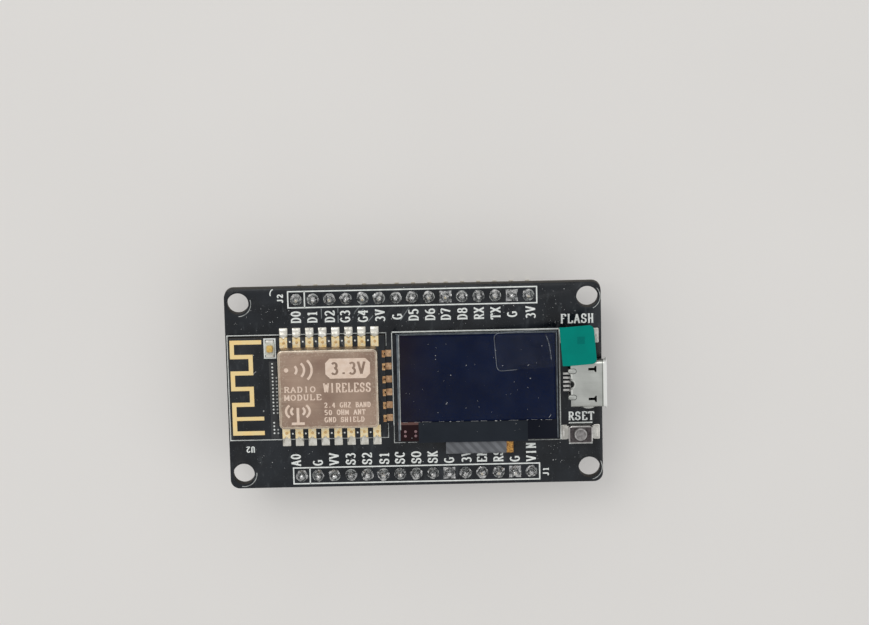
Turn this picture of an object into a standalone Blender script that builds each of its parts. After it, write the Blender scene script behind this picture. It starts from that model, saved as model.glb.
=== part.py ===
"""Microcontroller development board with a radio module, a small display and a USB socket.

The board lies flat on its two pin headers, component side up.  The origin is the centre of the
pin grid in the plane of the pins' lower tips, +X points to the USB socket and +Z points up.
Each electrical component's own empty stands on the board's top or bottom face.
"""

import math

import bmesh
import bpy
from mathutils import Matrix

MM = 0.001
GAP = 0.02 * MM

# Facets of round shapes
CORNER_STEPS = 4
BOARD_CORNER_STEPS = 8
HOLE_STEPS = 32
PIN_HOLE_STEPS = 8
BUTTON_STEPS = 20

# Pin headers
PIN_COUNT = 15
PITCH = 2.54 * MM
ROW_SPACING = 27.94 * MM
PIN_WIDTH = 0.64 * MM
PIN_TIP_WIDTH = 0.30 * MM
PIN_TIP_LENGTH = 0.60 * MM
PIN_TOP = 11.30 * MM
HEADER_BOTTOM = 6.00 * MM
HEADER_HEIGHT = 2.50 * MM
HEADER_WIDTH = 2.50 * MM
HEADER_CHAMFER = 0.35 * MM
HEADER_HOLE = PIN_WIDTH + 2 * GAP
BACK_SIGNALS = ("d0", "d1", "d2", "g3", "g4", "3v", "gnd", "d5", "d6", "d7", "d8", "rx", "tx", "gnd", "3v")
FRONT_SIGNALS = ("a0", "gnd", "vv", "s3", "s2", "s1", "sc", "so", "sk", "gnd", "3v", "en", "rs", "gnd", "vin")

# Printed circuit board
BOARD_LENGTH = 57.7 * MM
BOARD_WIDTH = 31.6 * MM
BOARD_THICKNESS = 1.6 * MM
BOARD_BOTTOM = HEADER_BOTTOM + HEADER_HEIGHT + GAP
BOARD_TOP = BOARD_BOTTOM + BOARD_THICKNESS
BOARD_CORNER = 1.4 * MM
MOUNTING_HOLE_RADIUS = 1.65 * MM
MOUNTING_HOLE_X = 26.75 * MM
MOUNTING_HOLE_Y = 13.5 * MM
LAND_RADIUS = 2.05 * MM
LAND_HEIGHT = 0.04 * MM
PIN_HOLE_RADIUS = 0.55 * MM

# Radio module
RADIO_CENTRE = (-16.4 * MM, 0.25 * MM)
RADIO_LENGTH = 24.0 * MM
RADIO_WIDTH = 16.0 * MM
RADIO_THICKNESS = 0.8 * MM
RADIO_SIDE_PADS = 8
RADIO_SIDE_PITCH = 2.0 * MM
RADIO_FIRST_PAD = -3.52 * MM
RADIO_END_PADS = 6
RADIO_END_PITCH = 2.04 * MM
NOTCH_RADIUS = 0.3 * MM
CAN_CENTRE = (3.25 * MM, 0.2 * MM)
CAN_LENGTH = 15.3 * MM
CAN_WIDTH = 12.4 * MM
CAN_HEIGHT = 2.2 * MM
CAN_WALL = 0.2 * MM
CAN_CORNER = 0.7 * MM
CAN_EDGE = 0.35 * MM
SOC_CENTRE = (0.5 * MM, -3.0 * MM)
SOC_SIZE = (5.0 * MM, 5.0 * MM, 0.85 * MM)
FLASH_CHIP_CENTRE = (0.2 * MM, 2.8 * MM)
CRYSTAL_CENTRE = (6.5 * MM, -2.5 * MM)
CRYSTAL_BASE = (3.2 * MM, 2.5 * MM, 0.35 * MM)
CRYSTAL_LID = (2.9 * MM, 2.2 * MM, 0.75 * MM)
LED_CENTRE = (-5.62 * MM, 6.3 * MM)
LED_BASE = (1.5 * MM, 2.7 * MM, 0.35 * MM)
LED_LENS = (1.3 * MM, 1.5 * MM, 0.75 * MM)

# Display, heights above the board's top face
DISPLAY_CENTRE = (9.68 * MM, 0.12 * MM)
TAPE_SIZE = (23.0 * MM, 11.7 * MM)
TAPE_OFFSET = 2.3 * MM
TAPE_THICKNESS = 0.68 * MM
REAR_GLASS_SIZE = (24.0 * MM, 13.4 * MM)
REAR_GLASS_OFFSET = 1.45 * MM
GLASS_THICKNESS = 0.55 * MM
FRONT_GLASS_SIZE = (24.74 * MM, 16.9 * MM)
POLARIZER_SIZE = (24.0 * MM, 13.6 * MM)
POLARIZER_OFFSET = 1.46 * MM
POLARIZER_THICKNESS = 0.2 * MM
FILM_SIZE = (23.6 * MM, 13.2 * MM)
FILM_THICKNESS = 0.06 * MM
TAPE_BOTTOM = GAP
REAR_GLASS_BOTTOM = TAPE_BOTTOM + TAPE_THICKNESS + GAP
FRONT_GLASS_BOTTOM = REAR_GLASS_BOTTOM + GLASS_THICKNESS + GAP
POLARIZER_BOTTOM = FRONT_GLASS_BOTTOM + GLASS_THICKNESS + GAP
FILM_BOTTOM = POLARIZER_BOTTOM + POLARIZER_THICKNESS + GAP
TAB_BOTTOM = FILM_BOTTOM + FILM_THICKNESS + GAP
DRIVER_SIZE = (12.0 * MM, 0.9 * MM, 0.27 * MM)
DRIVER_Y = -6.5 * MM

# Display flex cable: a bonded head, a narrower neck and a U-turn back under the glass
FLEX_HEAD_X = (-8.8 * MM, 7.4 * MM)
FLEX_NECK_X = (-5.02 * MM, 5.36 * MM)
FLEX_THICKNESS = 0.12 * MM
FLEX_HEAD_START = -7.3 * MM
FLEX_NECK_START = -8.5 * MM
FLEX_TURN_Y = -10.27 * MM
FLEX_UPPER_Z = FRONT_GLASS_BOTTOM - GAP - FLEX_THICKNESS / 2
FLEX_LOWER_Z = 0.14 * MM
FLEX_END_Y = -5.2 * MM
FLEX_TURN_STEPS = 10

# Pull tab of the display's protective film
TAB_LENGTH = 15.4 * MM
TAB_WIDTH = 6.1 * MM
TAB_THICKNESS = 0.1 * MM
TAB_CORNER = 0.8 * MM
TAB_CENTRE = (20.15 * MM, 6.05 * MM)
TAB_ANGLE = math.radians(4.1)
TAB_RAMP = (1.6 * MM, 3.6 * MM)
TAB_RISE = 0.5 * MM
TAB_STEPS = 6

# USB socket, profile in the socket's own YZ plane
USB_CENTRE_Y = 0.3 * MM
USB_REAR = 24.0 * MM
USB_FRONT = 28.95 * MM
USB_LIP = 29.5 * MM
USB_WIDTH = 7.3 * MM
USB_HEIGHT = 2.45 * MM
USB_WALL = 0.25 * MM
USB_FLARE = 0.3 * MM
USB_BASE = 0.03 * MM
USB_CORNER = 0.5 * MM
USB_CHAMFER_TOP = 1.2 * MM
USB_CHAMFER_WIDTH = 0.95 * MM
USB_SLOT_Y = 2.4 * MM
USB_SLOT_X = (26.7 * MM, 27.95 * MM)
USB_SLOT_WIDTH = 0.42 * MM
USB_SLOT_HEAD = (0.22 * MM, 1.1 * MM)
USB_LIP_NOTCH = 0.6 * MM
TONGUE_BLOCK_FRONT = 25.4 * MM
TONGUE_FRONT = 28.3 * MM
TONGUE_WIDTH = 3.7 * MM
TONGUE_Z = (1.25 * MM, 1.9 * MM)

# Push buttons, heights above the board's top face
FLASH_BUTTON_CENTRE = (25.45 * MM, 7.4 * MM)
RESET_BUTTON_CENTRE = (25.45 * MM, -7.85 * MM)
BUTTON_LENGTH = 3.7 * MM
BUTTON_WIDTH = 3.0 * MM
COVER_WALL = 0.13 * MM
COVER_BOTTOM = 0.45 * MM
COVER_TOP = 1.42 * MM
BUTTON_BODY_TOP = COVER_TOP - COVER_WALL - GAP
COVER_HOLE_RADIUS = 1.08 * MM
TERMINAL_SIZE = (5.65 * MM, 2.05 * MM, 0.22 * MM)
CAVITY_RADIUS = 1.3 * MM
CAVITY_FLOOR = 0.35 * MM
FLANGE_RADIUS = 1.18 * MM
FLANGE_THICKNESS = 0.35 * MM
STEM_RADIUS = 1.0 * MM
STEM_TOP = 1.9 * MM
STEM_EDGE = 0.12 * MM
DOME_RADIUS = 1.15 * MM
DOME_SHEET = 0.06 * MM

# Leaded chips: body size, reach of the leads from the middle, and rows of leads
LEAD_THICKNESS = 0.2 * MM
LEAD_EXIT = 0.45
CHIP_STAND_OFF = 0.1 * MM
CHIP_TAPER = 0.1 * MM
FLASH_CHIP_BODY = (4.9 * MM, 3.9 * MM, 1.5 * MM)
FLASH_CHIP_REACH = 3.0 * MM
FLASH_CHIP_LEADS = ((4, 1.27 * MM, 0.4 * MM, -1), (4, 1.27 * MM, 0.4 * MM, 1))
UNDERSIDE_CHIPS = (
    ("usb_serial_chip", (8.0 * MM, 2.0 * MM), (9.9 * MM, 3.9 * MM, 1.5 * MM), 3.0 * MM,
     ((8, 1.27 * MM, 0.4 * MM, -1), (8, 1.27 * MM, 0.4 * MM, 1))),
    ("voltage_regulator", (18.0 * MM, -4.0 * MM), (6.5 * MM, 3.5 * MM, 1.6 * MM), 3.5 * MM,
     ((3, 2.3 * MM, 0.7 * MM, -1), (1, 0.0, 3.0 * MM, 1))),
    ("auto_reset_transistor", (13.5 * MM, -7.5 * MM), (2.9 * MM, 1.3 * MM, 1.0 * MM), 1.2 * MM,
     ((2, 1.9 * MM, 0.4 * MM, -1), (1, 0.0, 0.4 * MM, 1))),
)

SMOOTH_ANGLE = math.radians(35)
BLOCK_TAPER = 0.94

BLACK_MASK = ("black_mask", (0.012, 0.014, 0.016), 0.35, 0.0)
HEADER_PLASTIC = ("header_plastic", (0.015, 0.015, 0.015), 0.55, 0.0)
PIN_METAL = ("pin_metal", (0.72, 0.70, 0.66), 0.28, 1.0)
CAN_METAL = ("can_metal", (0.60, 0.52, 0.47), 0.38, 1.0)
CHIP_PLASTIC = ("chip_plastic", (0.02, 0.02, 0.022), 0.5, 0.0)
CRYSTAL_METAL = ("crystal_metal", (0.66, 0.64, 0.58), 0.3, 1.0)
LED_RESIN = ("led_resin", (0.85, 0.78, 0.45), 0.35, 0.0)
TAPE_FOAM = ("tape_foam", (0.75, 0.75, 0.72), 0.8, 0.0)
GLASS = ("display_glass", (0.02, 0.025, 0.04), 0.05, 0.0)
POLARIZER = ("polarizer", (0.006, 0.008, 0.02), 0.1, 0.0)
SILICON = ("driver_silicon", (0.12, 0.12, 0.13), 0.25, 0.4)
FLEX_FILM = ("flex_film", (0.32, 0.24, 0.12), 0.4, 0.0)
CLEAR_FILM = ("clear_film", (0.6, 0.63, 0.66), 0.1, 0.0)
TEAL_FILM = ("teal_film", (0.0, 0.22, 0.18), 0.3, 0.0)
USB_STEEL = ("usb_steel", (0.72, 0.73, 0.72), 0.3, 1.0)
USB_PLASTIC = ("usb_plastic", (0.02, 0.02, 0.02), 0.5, 0.0)
BUTTON_PLASTIC = ("button_plastic", (0.03, 0.03, 0.03), 0.5, 0.0)
BUTTON_METAL = ("button_metal", (0.62, 0.60, 0.58), 0.3, 1.0)
PLUNGER_PLASTIC = ("plunger_plastic", (0.09, 0.07, 0.065), 0.4, 0.0)
DOME_STEEL = ("dome_steel", (0.7, 0.7, 0.68), 0.25, 1.0)


def clear_scene():
    for item in list(bpy.data.objects):
        bpy.data.objects.remove(item, do_unlink=True)


def surface(spec):
    """Principled material for a (name, colour, roughness, metallic) specification."""
    name, colour, roughness, metallic = spec
    material = bpy.data.materials.get(name)
    if material is None:
        material = bpy.data.materials.new(name)
        material.use_nodes = True
        shader = material.node_tree.nodes["Principled BSDF"]
        shader.inputs["Base Color"].default_value = (*colour, 1.0)
        shader.inputs["Roughness"].default_value = roughness
        shader.inputs["Metallic"].default_value = metallic
    return material


def add_empty(name, x, y, z):
    """Empty that carries the pieces of one component."""
    empty = bpy.data.objects.new(name, None)
    empty.location = (x, y, z)
    bpy.context.scene.collection.objects.link(empty)
    return empty


def add_object(name, shape, spec=None, parent=None, location=(0.0, 0.0, 0.0), smooth=False):
    """Object made of a bmesh, which is freed."""
    mesh = bpy.data.meshes.new(name)
    bmesh.ops.recalc_face_normals(shape, faces=shape.faces)
    shape.to_mesh(mesh)
    shape.free()
    if smooth:
        mesh.shade_smooth()
        mesh.set_sharp_from_angle(angle=SMOOTH_ANGLE)
    item = bpy.data.objects.new(name, mesh)
    item.location = location
    item.parent = parent
    if spec is not None:
        mesh.materials.append(surface(spec))
    bpy.context.scene.collection.objects.link(item)
    return item


def combine(target, shape, operation):
    """Exact Boolean of an object with a hidden helper made of a bmesh."""
    helper = add_object(f"{target.name}_{operation.lower()}_helper", shape, None, target.parent,
                        target.location)
    helper.hide_render = True
    helper.display_type = "WIRE"
    modifier = target.modifiers.new(operation.title(), "BOOLEAN")
    modifier.operation = operation
    modifier.solver = "EXACT"
    modifier.object = helper


def loft(rings, shape=None):
    """Closed body through rings of equal length, with a flat cap on each end."""
    shape = shape or bmesh.new()
    loops = [[shape.verts.new(point) for point in ring] for ring in rings]
    count = len(loops[0])
    for lower, upper in zip(loops, loops[1:]):
        for i in range(count):
            j = (i + 1) % count
            shape.faces.new((lower[i], lower[j], upper[j], upper[i]))
    shape.faces.new(list(reversed(loops[0])))
    shape.faces.new(loops[-1])
    return shape


def flat_ring(outline, z):
    return [(x, y, z) for x, y in outline]


def prism(outline, bottom, top, shape=None):
    """Upright body on an outline."""
    return loft([flat_ring(outline, bottom), flat_ring(outline, top)], shape)


def rectangle(width, depth, x=0.0, y=0.0):
    half_width = width / 2
    half_depth = depth / 2
    return [(x - half_width, y - half_depth), (x + half_width, y - half_depth),
            (x + half_width, y + half_depth), (x - half_width, y + half_depth)]


def rounded_rectangle(width, depth, radius, x=0.0, y=0.0, steps=CORNER_STEPS):
    points = []
    for corner in range(4):
        side_x = 1 if corner in (0, 3) else -1
        side_y = 1 if corner in (0, 1) else -1
        for step in range(steps + 1):
            angle = math.radians(90) * (corner + step / steps)
            points.append((x + side_x * (width / 2 - radius) + radius * math.cos(angle),
                           y + side_y * (depth / 2 - radius) + radius * math.sin(angle)))
    return points


def circle(radius, steps, x=0.0, y=0.0):
    turn = 2 * math.pi / steps
    return [(x + radius * math.cos((i + 0.5) * turn), y + radius * math.sin((i + 0.5) * turn))
            for i in range(steps)]


def turned(profile, steps=BUTTON_STEPS):
    """Body of revolution about Z through (radius, height) points."""
    return loft([flat_ring(circle(radius, steps), height) for radius, height in profile])


def stepped_block(base, top):
    """Rectangular base with a smaller rectangular block on it, sizes as (x, y, upper height)."""
    return loft([flat_ring(rectangle(base[0], base[1]), 0.0),
                 flat_ring(rectangle(base[0], base[1]), base[2]),
                 flat_ring(rectangle(top[0], top[1]), base[2]),
                 flat_ring(rectangle(top[0] * BLOCK_TAPER, top[1] * BLOCK_TAPER), top[2])])


def pin_positions():
    """X of each pin and Y of each row."""
    first = -(PIN_COUNT - 1) / 2 * PITCH
    return [first + i * PITCH for i in range(PIN_COUNT)]


def mounting_holes():
    return [(x, y) for x in (-MOUNTING_HOLE_X, MOUNTING_HOLE_X) for y in (-MOUNTING_HOLE_Y, MOUNTING_HOLE_Y)]


def make_main_board():
    """Board with raised lands round its mounting holes and a hole for every pin."""
    outline = rounded_rectangle(BOARD_LENGTH, BOARD_WIDTH, BOARD_CORNER, steps=BOARD_CORNER_STEPS)
    board = add_object("main_board", prism(outline, BOARD_BOTTOM, BOARD_TOP), BLACK_MASK)
    lands = bmesh.new()
    for x, y in mounting_holes():
        disc = circle(LAND_RADIUS, HOLE_STEPS, x, y)
        prism(disc, BOARD_BOTTOM - LAND_HEIGHT, BOARD_TOP + LAND_HEIGHT, lands)
    combine(board, lands, "UNION")
    cutter = bmesh.new()
    low = BOARD_BOTTOM - MM
    high = BOARD_TOP + MM
    for x, y in mounting_holes():
        prism(circle(MOUNTING_HOLE_RADIUS, HOLE_STEPS, x, y), low, high, cutter)
    for x in pin_positions():
        for y in (-ROW_SPACING / 2, ROW_SPACING / 2):
            prism(circle(PIN_HOLE_RADIUS, PIN_HOLE_STEPS, x, y), low, high, cutter)
    combine(board, cutter, "DIFFERENCE")


def header_outline():
    """Bar with a waist between neighbouring pins."""
    half_pitch = PITCH / 2
    side = -HEADER_WIDTH / 2
    waist = side + HEADER_CHAMFER
    lower = [(pin_positions()[0] - half_pitch, waist)]
    for x in pin_positions():
        lower.append((x - half_pitch + HEADER_CHAMFER, side))
        lower.append((x + half_pitch - HEADER_CHAMFER, side))
        lower.append((x + half_pitch, waist))
    return lower + [(x, -y) for x, y in reversed(lower)]


def make_header(side, row_y, signals):
    """Plastic base and square pins of one row."""
    base = add_object(f"header_base_{side}", prism(header_outline(), 0.0, HEADER_HEIGHT), HEADER_PLASTIC,
                      None, (0.0, row_y, HEADER_BOTTOM))
    cutter = bmesh.new()
    for x in pin_positions():
        prism(rectangle(HEADER_HOLE, HEADER_HOLE, x), -MM, HEADER_HEIGHT + MM, cutter)
    combine(base, cutter, "DIFFERENCE")
    heights = ((PIN_TIP_WIDTH, 0.0), (PIN_WIDTH, PIN_TIP_LENGTH),
               (PIN_WIDTH, PIN_TOP - PIN_TIP_LENGTH), (PIN_TIP_WIDTH, PIN_TOP))
    for number, (x, signal) in enumerate(zip(pin_positions(), signals), start=1):
        rings = [flat_ring(rectangle(width, width), height) for width, height in heights]
        add_object(f"pin_{side}_{number:02d}_{signal}", loft(rings), PIN_METAL, None, (x, row_y, 0.0))


def edge_notch(x, y, side):
    """Half-round notch in side 0 (bottom), 1 (right) or 2 (top) of an outline."""
    start = math.pi + side * math.pi / 2
    return [(x + NOTCH_RADIUS * math.cos(start - math.pi * step / CORNER_STEPS),
             y + NOTCH_RADIUS * math.sin(start - math.pi * step / CORNER_STEPS))
            for step in range(CORNER_STEPS + 1)]


def radio_outline():
    """Rectangle with half-round plated notches along three sides."""
    half_length = RADIO_LENGTH / 2
    half_width = RADIO_WIDTH / 2
    side_x = [RADIO_FIRST_PAD + i * RADIO_SIDE_PITCH for i in range(RADIO_SIDE_PADS)]
    end_y = [(i - (RADIO_END_PADS - 1) / 2) * RADIO_END_PITCH for i in range(RADIO_END_PADS)]
    points = [(-half_length, -half_width)]
    for x in side_x:
        points += edge_notch(x, -half_width, 0)
    points.append((half_length, -half_width))
    for y in end_y:
        points += edge_notch(half_length, y, 1)
    points.append((half_length, half_width))
    for x in reversed(side_x):
        points += edge_notch(x, half_width, 2)
    points.append((-half_length, half_width))
    return points


def make_shield_can(module):
    """Drawn metal can, open below, with rounded corners and upper edges."""
    rings = []
    for height in (CAN_HEIGHT - CAN_WALL, 0.0):
        rings.append(flat_ring(rounded_rectangle(CAN_LENGTH - 2 * CAN_WALL, CAN_WIDTH - 2 * CAN_WALL,
                                                 CAN_CORNER - CAN_WALL), height))
    rings.append(flat_ring(rounded_rectangle(CAN_LENGTH, CAN_WIDTH, CAN_CORNER), 0.0))
    for step in range(CORNER_STEPS + 1):
        angle = math.radians(90) * step / CORNER_STEPS
        inset = CAN_EDGE * (1 - math.cos(angle))
        height = CAN_HEIGHT - CAN_EDGE * (1 - math.sin(angle))
        rings.append(flat_ring(rounded_rectangle(CAN_LENGTH - 2 * inset, CAN_WIDTH - 2 * inset,
                                                 CAN_CORNER - inset), height))
    add_object("radio_shield_can", loft(rings), CAN_METAL, module,
               (*CAN_CENTRE, RADIO_THICKNESS + 2 * GAP), smooth=True)


def gull_wing_leads(shape, positions, width, body_edge, reach, lead_height, side=1):
    """Bent leads that leave a body's side and end flat on the board, mirrored by side."""
    foot = LEAD_THICKNESS
    path = ((body_edge - foot, lead_height), (body_edge + foot, lead_height),
            (reach - 2.5 * foot, foot / 2), (reach, foot / 2))
    for x in positions:
        rings = []
        for y, z in path:
            ring = [(x - width / 2, side * y, z - foot / 2), (x + width / 2, side * y, z - foot / 2),
                    (x + width / 2, side * y, z + foot / 2), (x - width / 2, side * y, z + foot / 2)]
            rings.append(ring)
        loft(rings, shape)


def chip_body(length, width, bottom, top):
    """Moulded body whose sides taper from a parting line at mid height."""
    middle = (bottom + top) / 2
    face = rectangle(length - CHIP_TAPER, width - CHIP_TAPER)
    return loft([flat_ring(face, bottom), flat_ring(rectangle(length, width), middle), flat_ring(face, top)])


def make_leaded_chip(name, parent, location, body, reach, lead_rows):
    """Chip with a body of (length, width, height) and rows of (lead count, pitch, lead width, side)."""
    length, width, height = body
    chip = add_object(name, chip_body(length, width, CHIP_STAND_OFF, height), CHIP_PLASTIC, parent, location)
    shape = bmesh.new()
    for count, pitch, lead_width, side in lead_rows:
        gull_wing_leads(shape, spread(count, pitch), lead_width, width / 2, reach, height * LEAD_EXIT, side)
    combine(chip, shape, "UNION")


def spread(count, pitch):
    """Centres of count features in a row about zero."""
    return [(i - (count - 1) / 2) * pitch for i in range(count)]


def make_radio_module():
    module = add_empty("radio_module", *RADIO_CENTRE, BOARD_TOP + GAP)
    top = RADIO_THICKNESS + GAP
    add_object("radio_board", prism(radio_outline(), 0.0, RADIO_THICKNESS), BLACK_MASK, module)
    make_shield_can(module)
    add_object("radio_soc_chip", chip_body(*SOC_SIZE[:2], 0.0, SOC_SIZE[2]), CHIP_PLASTIC, module,
               (*SOC_CENTRE, top))
    make_leaded_chip("radio_flash_chip", module, (*FLASH_CHIP_CENTRE, top), FLASH_CHIP_BODY, FLASH_CHIP_REACH,
                     FLASH_CHIP_LEADS)
    add_object("radio_crystal", stepped_block(CRYSTAL_BASE, CRYSTAL_LID), CRYSTAL_METAL, module,
               (*CRYSTAL_CENTRE, top))
    add_object("radio_led", stepped_block(LED_BASE, LED_LENS), LED_RESIN, module, (*LED_CENTRE, top))


def make_flex_cable(display):
    """Thin strip from under the glass ledge, out past its edge and back beneath it."""
    middle_z = (FLEX_UPPER_Z + FLEX_LOWER_Z) / 2
    radius = (FLEX_UPPER_Z - FLEX_LOWER_Z) / 2
    stations = [(FLEX_HEAD_START, FLEX_UPPER_Z, 0.0, FLEX_HEAD_X),
                (FLEX_NECK_START, FLEX_UPPER_Z, 0.0, FLEX_HEAD_X),
                (FLEX_NECK_START, FLEX_UPPER_Z, 0.0, FLEX_NECK_X)]
    for step in range(FLEX_TURN_STEPS + 1):
        angle = math.pi * step / FLEX_TURN_STEPS
        stations.append((FLEX_TURN_Y - radius * math.sin(angle), middle_z + radius * math.cos(angle),
                         angle, FLEX_NECK_X))
    stations.append((FLEX_END_Y, FLEX_LOWER_Z, math.pi, FLEX_NECK_X))
    rings = []
    for y, z, angle, (left, right) in stations:
        out_y = -math.sin(angle) * FLEX_THICKNESS / 2
        out_z = math.cos(angle) * FLEX_THICKNESS / 2
        rings.append([(left, y - out_y, z - out_z), (right, y - out_y, z - out_z),
                      (right, y + out_y, z + out_z), (left, y + out_y, z + out_z)])
    add_object("oled_flex_cable", loft(rings), FLEX_FILM, display, smooth=True)


def make_display():
    display = add_empty("display", *DISPLAY_CENTRE, BOARD_TOP)
    sheets = (("oled_mounting_tape", TAPE_SIZE, TAPE_OFFSET, TAPE_BOTTOM, TAPE_THICKNESS, TAPE_FOAM),
              ("oled_rear_glass", REAR_GLASS_SIZE, REAR_GLASS_OFFSET, REAR_GLASS_BOTTOM, GLASS_THICKNESS,
               GLASS),
              ("oled_front_glass", FRONT_GLASS_SIZE, 0.0, FRONT_GLASS_BOTTOM, GLASS_THICKNESS, GLASS),
              ("oled_polarizer", POLARIZER_SIZE, POLARIZER_OFFSET, POLARIZER_BOTTOM, POLARIZER_THICKNESS,
               POLARIZER),
              ("screen_film", FILM_SIZE, POLARIZER_OFFSET, FILM_BOTTOM, FILM_THICKNESS, CLEAR_FILM))
    for name, size, offset, bottom, thickness, spec in sheets:
        add_object(name, prism(rectangle(*size), 0.0, thickness), spec, display, (0.0, offset, bottom))
    driver = prism(rectangle(DRIVER_SIZE[0], DRIVER_SIZE[1]), 0.0, DRIVER_SIZE[2])
    add_object("oled_driver_chip", driver, SILICON, display,
               (0.0, DRIVER_Y, FRONT_GLASS_BOTTOM - GAP - DRIVER_SIZE[2]))
    make_flex_cable(display)


def ramp_height(x):
    """Height of the tab above its flat end, a smooth step along its length."""
    start, end = TAB_RAMP
    part = min(max((x - start) / (end - start), 0.0), 1.0)
    return TAB_RISE * part * part * (3 - 2 * part)


def make_pull_tab():
    """Strip on the film that steps up to pass over the USB socket's corner."""
    outline = rounded_rectangle(TAB_LENGTH, TAB_WIDTH, TAB_CORNER)
    shape = prism(outline, 0.0, TAB_THICKNESS)
    for step in range(TAB_STEPS + 1):
        x = TAB_RAMP[0] + (TAB_RAMP[1] - TAB_RAMP[0]) * step / TAB_STEPS
        geometry = shape.verts[:] + shape.edges[:] + shape.faces[:]
        bmesh.ops.bisect_plane(shape, geom=geometry, plane_co=(x, 0.0, 0.0), plane_no=(1.0, 0.0, 0.0))
    for vertex in shape.verts:
        vertex.co.z += ramp_height(vertex.co.x)
    tab = add_object("film_pull_tab", shape, TEAL_FILM, None, (*TAB_CENTRE, BOARD_TOP + TAB_BOTTOM))
    tab.rotation_euler = (0.0, 0.0, TAB_ANGLE)


def usb_ring(x, grow):
    """Socket profile at x, offset outwards by grow: round top corners and bevelled lower ones."""
    half = USB_WIDTH / 2 + grow
    top = USB_BASE + USB_HEIGHT + grow
    bottom = USB_BASE - grow
    foot = USB_WIDTH / 2 - USB_CHAMFER_WIDTH + grow * 0.4
    radius = USB_CORNER + grow
    right = []
    for step in range(CORNER_STEPS + 1):
        angle = math.radians(90) * step / CORNER_STEPS
        right.append((half - radius + radius * math.cos(angle), top - radius + radius * math.sin(angle)))
    right = [(foot, bottom), (half, USB_CHAMFER_TOP)] + right
    left = [(-y, z) for y, z in reversed(right)]
    return [(x, y, z) for y, z in right + left]


def latch_slot_outline(y):
    """T-shaped slot with its head towards the mouth."""
    start, end = USB_SLOT_X
    head, reach = USB_SLOT_HEAD
    neck = end - head
    lower = [(start, -USB_SLOT_WIDTH / 2), (neck, -USB_SLOT_WIDTH / 2), (neck, -reach / 2), (end, -reach / 2)]
    upper = [(x, -side) for x, side in reversed(lower)]
    return [(x, y + side) for x, side in lower + upper]


def make_usb_socket():
    socket = add_empty("usb_socket", 0.0, USB_CENTRE_Y, BOARD_TOP)
    rings = [usb_ring(USB_REAR, 0.0), usb_ring(USB_FRONT, 0.0), usb_ring(USB_LIP, USB_FLARE),
             usb_ring(USB_LIP, USB_FLARE - USB_WALL), usb_ring(USB_FRONT, -USB_WALL),
             usb_ring(USB_REAR + USB_WALL, -USB_WALL)]
    shell = add_object("usb_shell", loft(rings), USB_STEEL, socket, smooth=True)
    cutter = bmesh.new()
    low = USB_HEIGHT - USB_WALL - USB_WALL
    high = USB_HEIGHT + MM
    for y in (-USB_SLOT_Y, USB_SLOT_Y):
        prism(latch_slot_outline(y), low, high, cutter)
    for side in (-1, 1):
        y = side * USB_WIDTH / 2
        notch = rectangle(USB_LIP - USB_FRONT + USB_WALL, USB_LIP_NOTCH, USB_LIP - USB_WALL / 2, y)
        prism(notch, USB_HEIGHT - USB_LIP_NOTCH / 2, high, cutter)
        prism(notch, USB_CHAMFER_TOP - USB_LIP_NOTCH, USB_CHAMFER_TOP, cutter)
    combine(shell, cutter, "DIFFERENCE")
    block = loft([usb_ring(USB_REAR + USB_WALL + GAP, -USB_WALL - GAP),
                  usb_ring(TONGUE_BLOCK_FRONT, -USB_WALL - GAP)])
    tongue = add_object("usb_tongue", block, USB_PLASTIC, socket)
    length = TONGUE_FRONT - TONGUE_BLOCK_FRONT + USB_WALL
    plate = prism(rectangle(length, TONGUE_WIDTH, TONGUE_FRONT - length / 2), *TONGUE_Z)
    combine(tongue, plate, "UNION")


def make_button_base(name, parent):
    """Plastic body with a round well, on two flat solder terminals."""
    length = BUTTON_LENGTH - 2 * (COVER_WALL + GAP)
    width = BUTTON_WIDTH - 2 * (COVER_WALL + GAP)
    base = add_object(name, prism(rectangle(length, width), 0.0, BUTTON_BODY_TOP), BUTTON_PLASTIC, parent)
    terminal_length, terminal_width, terminal_height = TERMINAL_SIZE
    combine(base, prism(rectangle(terminal_length, terminal_width), 0.0, terminal_height), "UNION")
    well = prism(circle(CAVITY_RADIUS, BUTTON_STEPS), CAVITY_FLOOR, BUTTON_BODY_TOP + MM)
    combine(base, well, "DIFFERENCE")


def make_button_cover(name, parent):
    """Folded metal cover with a round hole for the plunger."""
    inner = rectangle(BUTTON_LENGTH - 2 * COVER_WALL, BUTTON_WIDTH - 2 * COVER_WALL)
    outer = rectangle(BUTTON_LENGTH, BUTTON_WIDTH)
    edge = rectangle(BUTTON_LENGTH - COVER_WALL, BUTTON_WIDTH - COVER_WALL)
    rings = [flat_ring(inner, COVER_TOP - COVER_WALL), flat_ring(inner, COVER_BOTTOM),
             flat_ring(outer, COVER_BOTTOM), flat_ring(outer, COVER_TOP - COVER_WALL / 2),
             flat_ring(edge, COVER_TOP)]
    cover = add_object(name, loft(rings), BUTTON_METAL, parent)
    hole = prism(circle(COVER_HOLE_RADIUS, BUTTON_STEPS), BUTTON_BODY_TOP, COVER_TOP + MM)
    combine(cover, hole, "DIFFERENCE")


def make_plunger(name, parent):
    """Round button with a flange that is held under the cover."""
    flange_top = BUTTON_BODY_TOP
    flange_bottom = flange_top - FLANGE_THICKNESS
    profile = [(FLANGE_RADIUS, flange_bottom), (FLANGE_RADIUS, flange_top), (STEM_RADIUS, flange_top),
               (STEM_RADIUS, STEM_TOP - STEM_EDGE), (STEM_RADIUS - STEM_EDGE, STEM_TOP)]
    add_object(name, turned(profile), PLUNGER_PLASTIC, parent, smooth=True)


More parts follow.
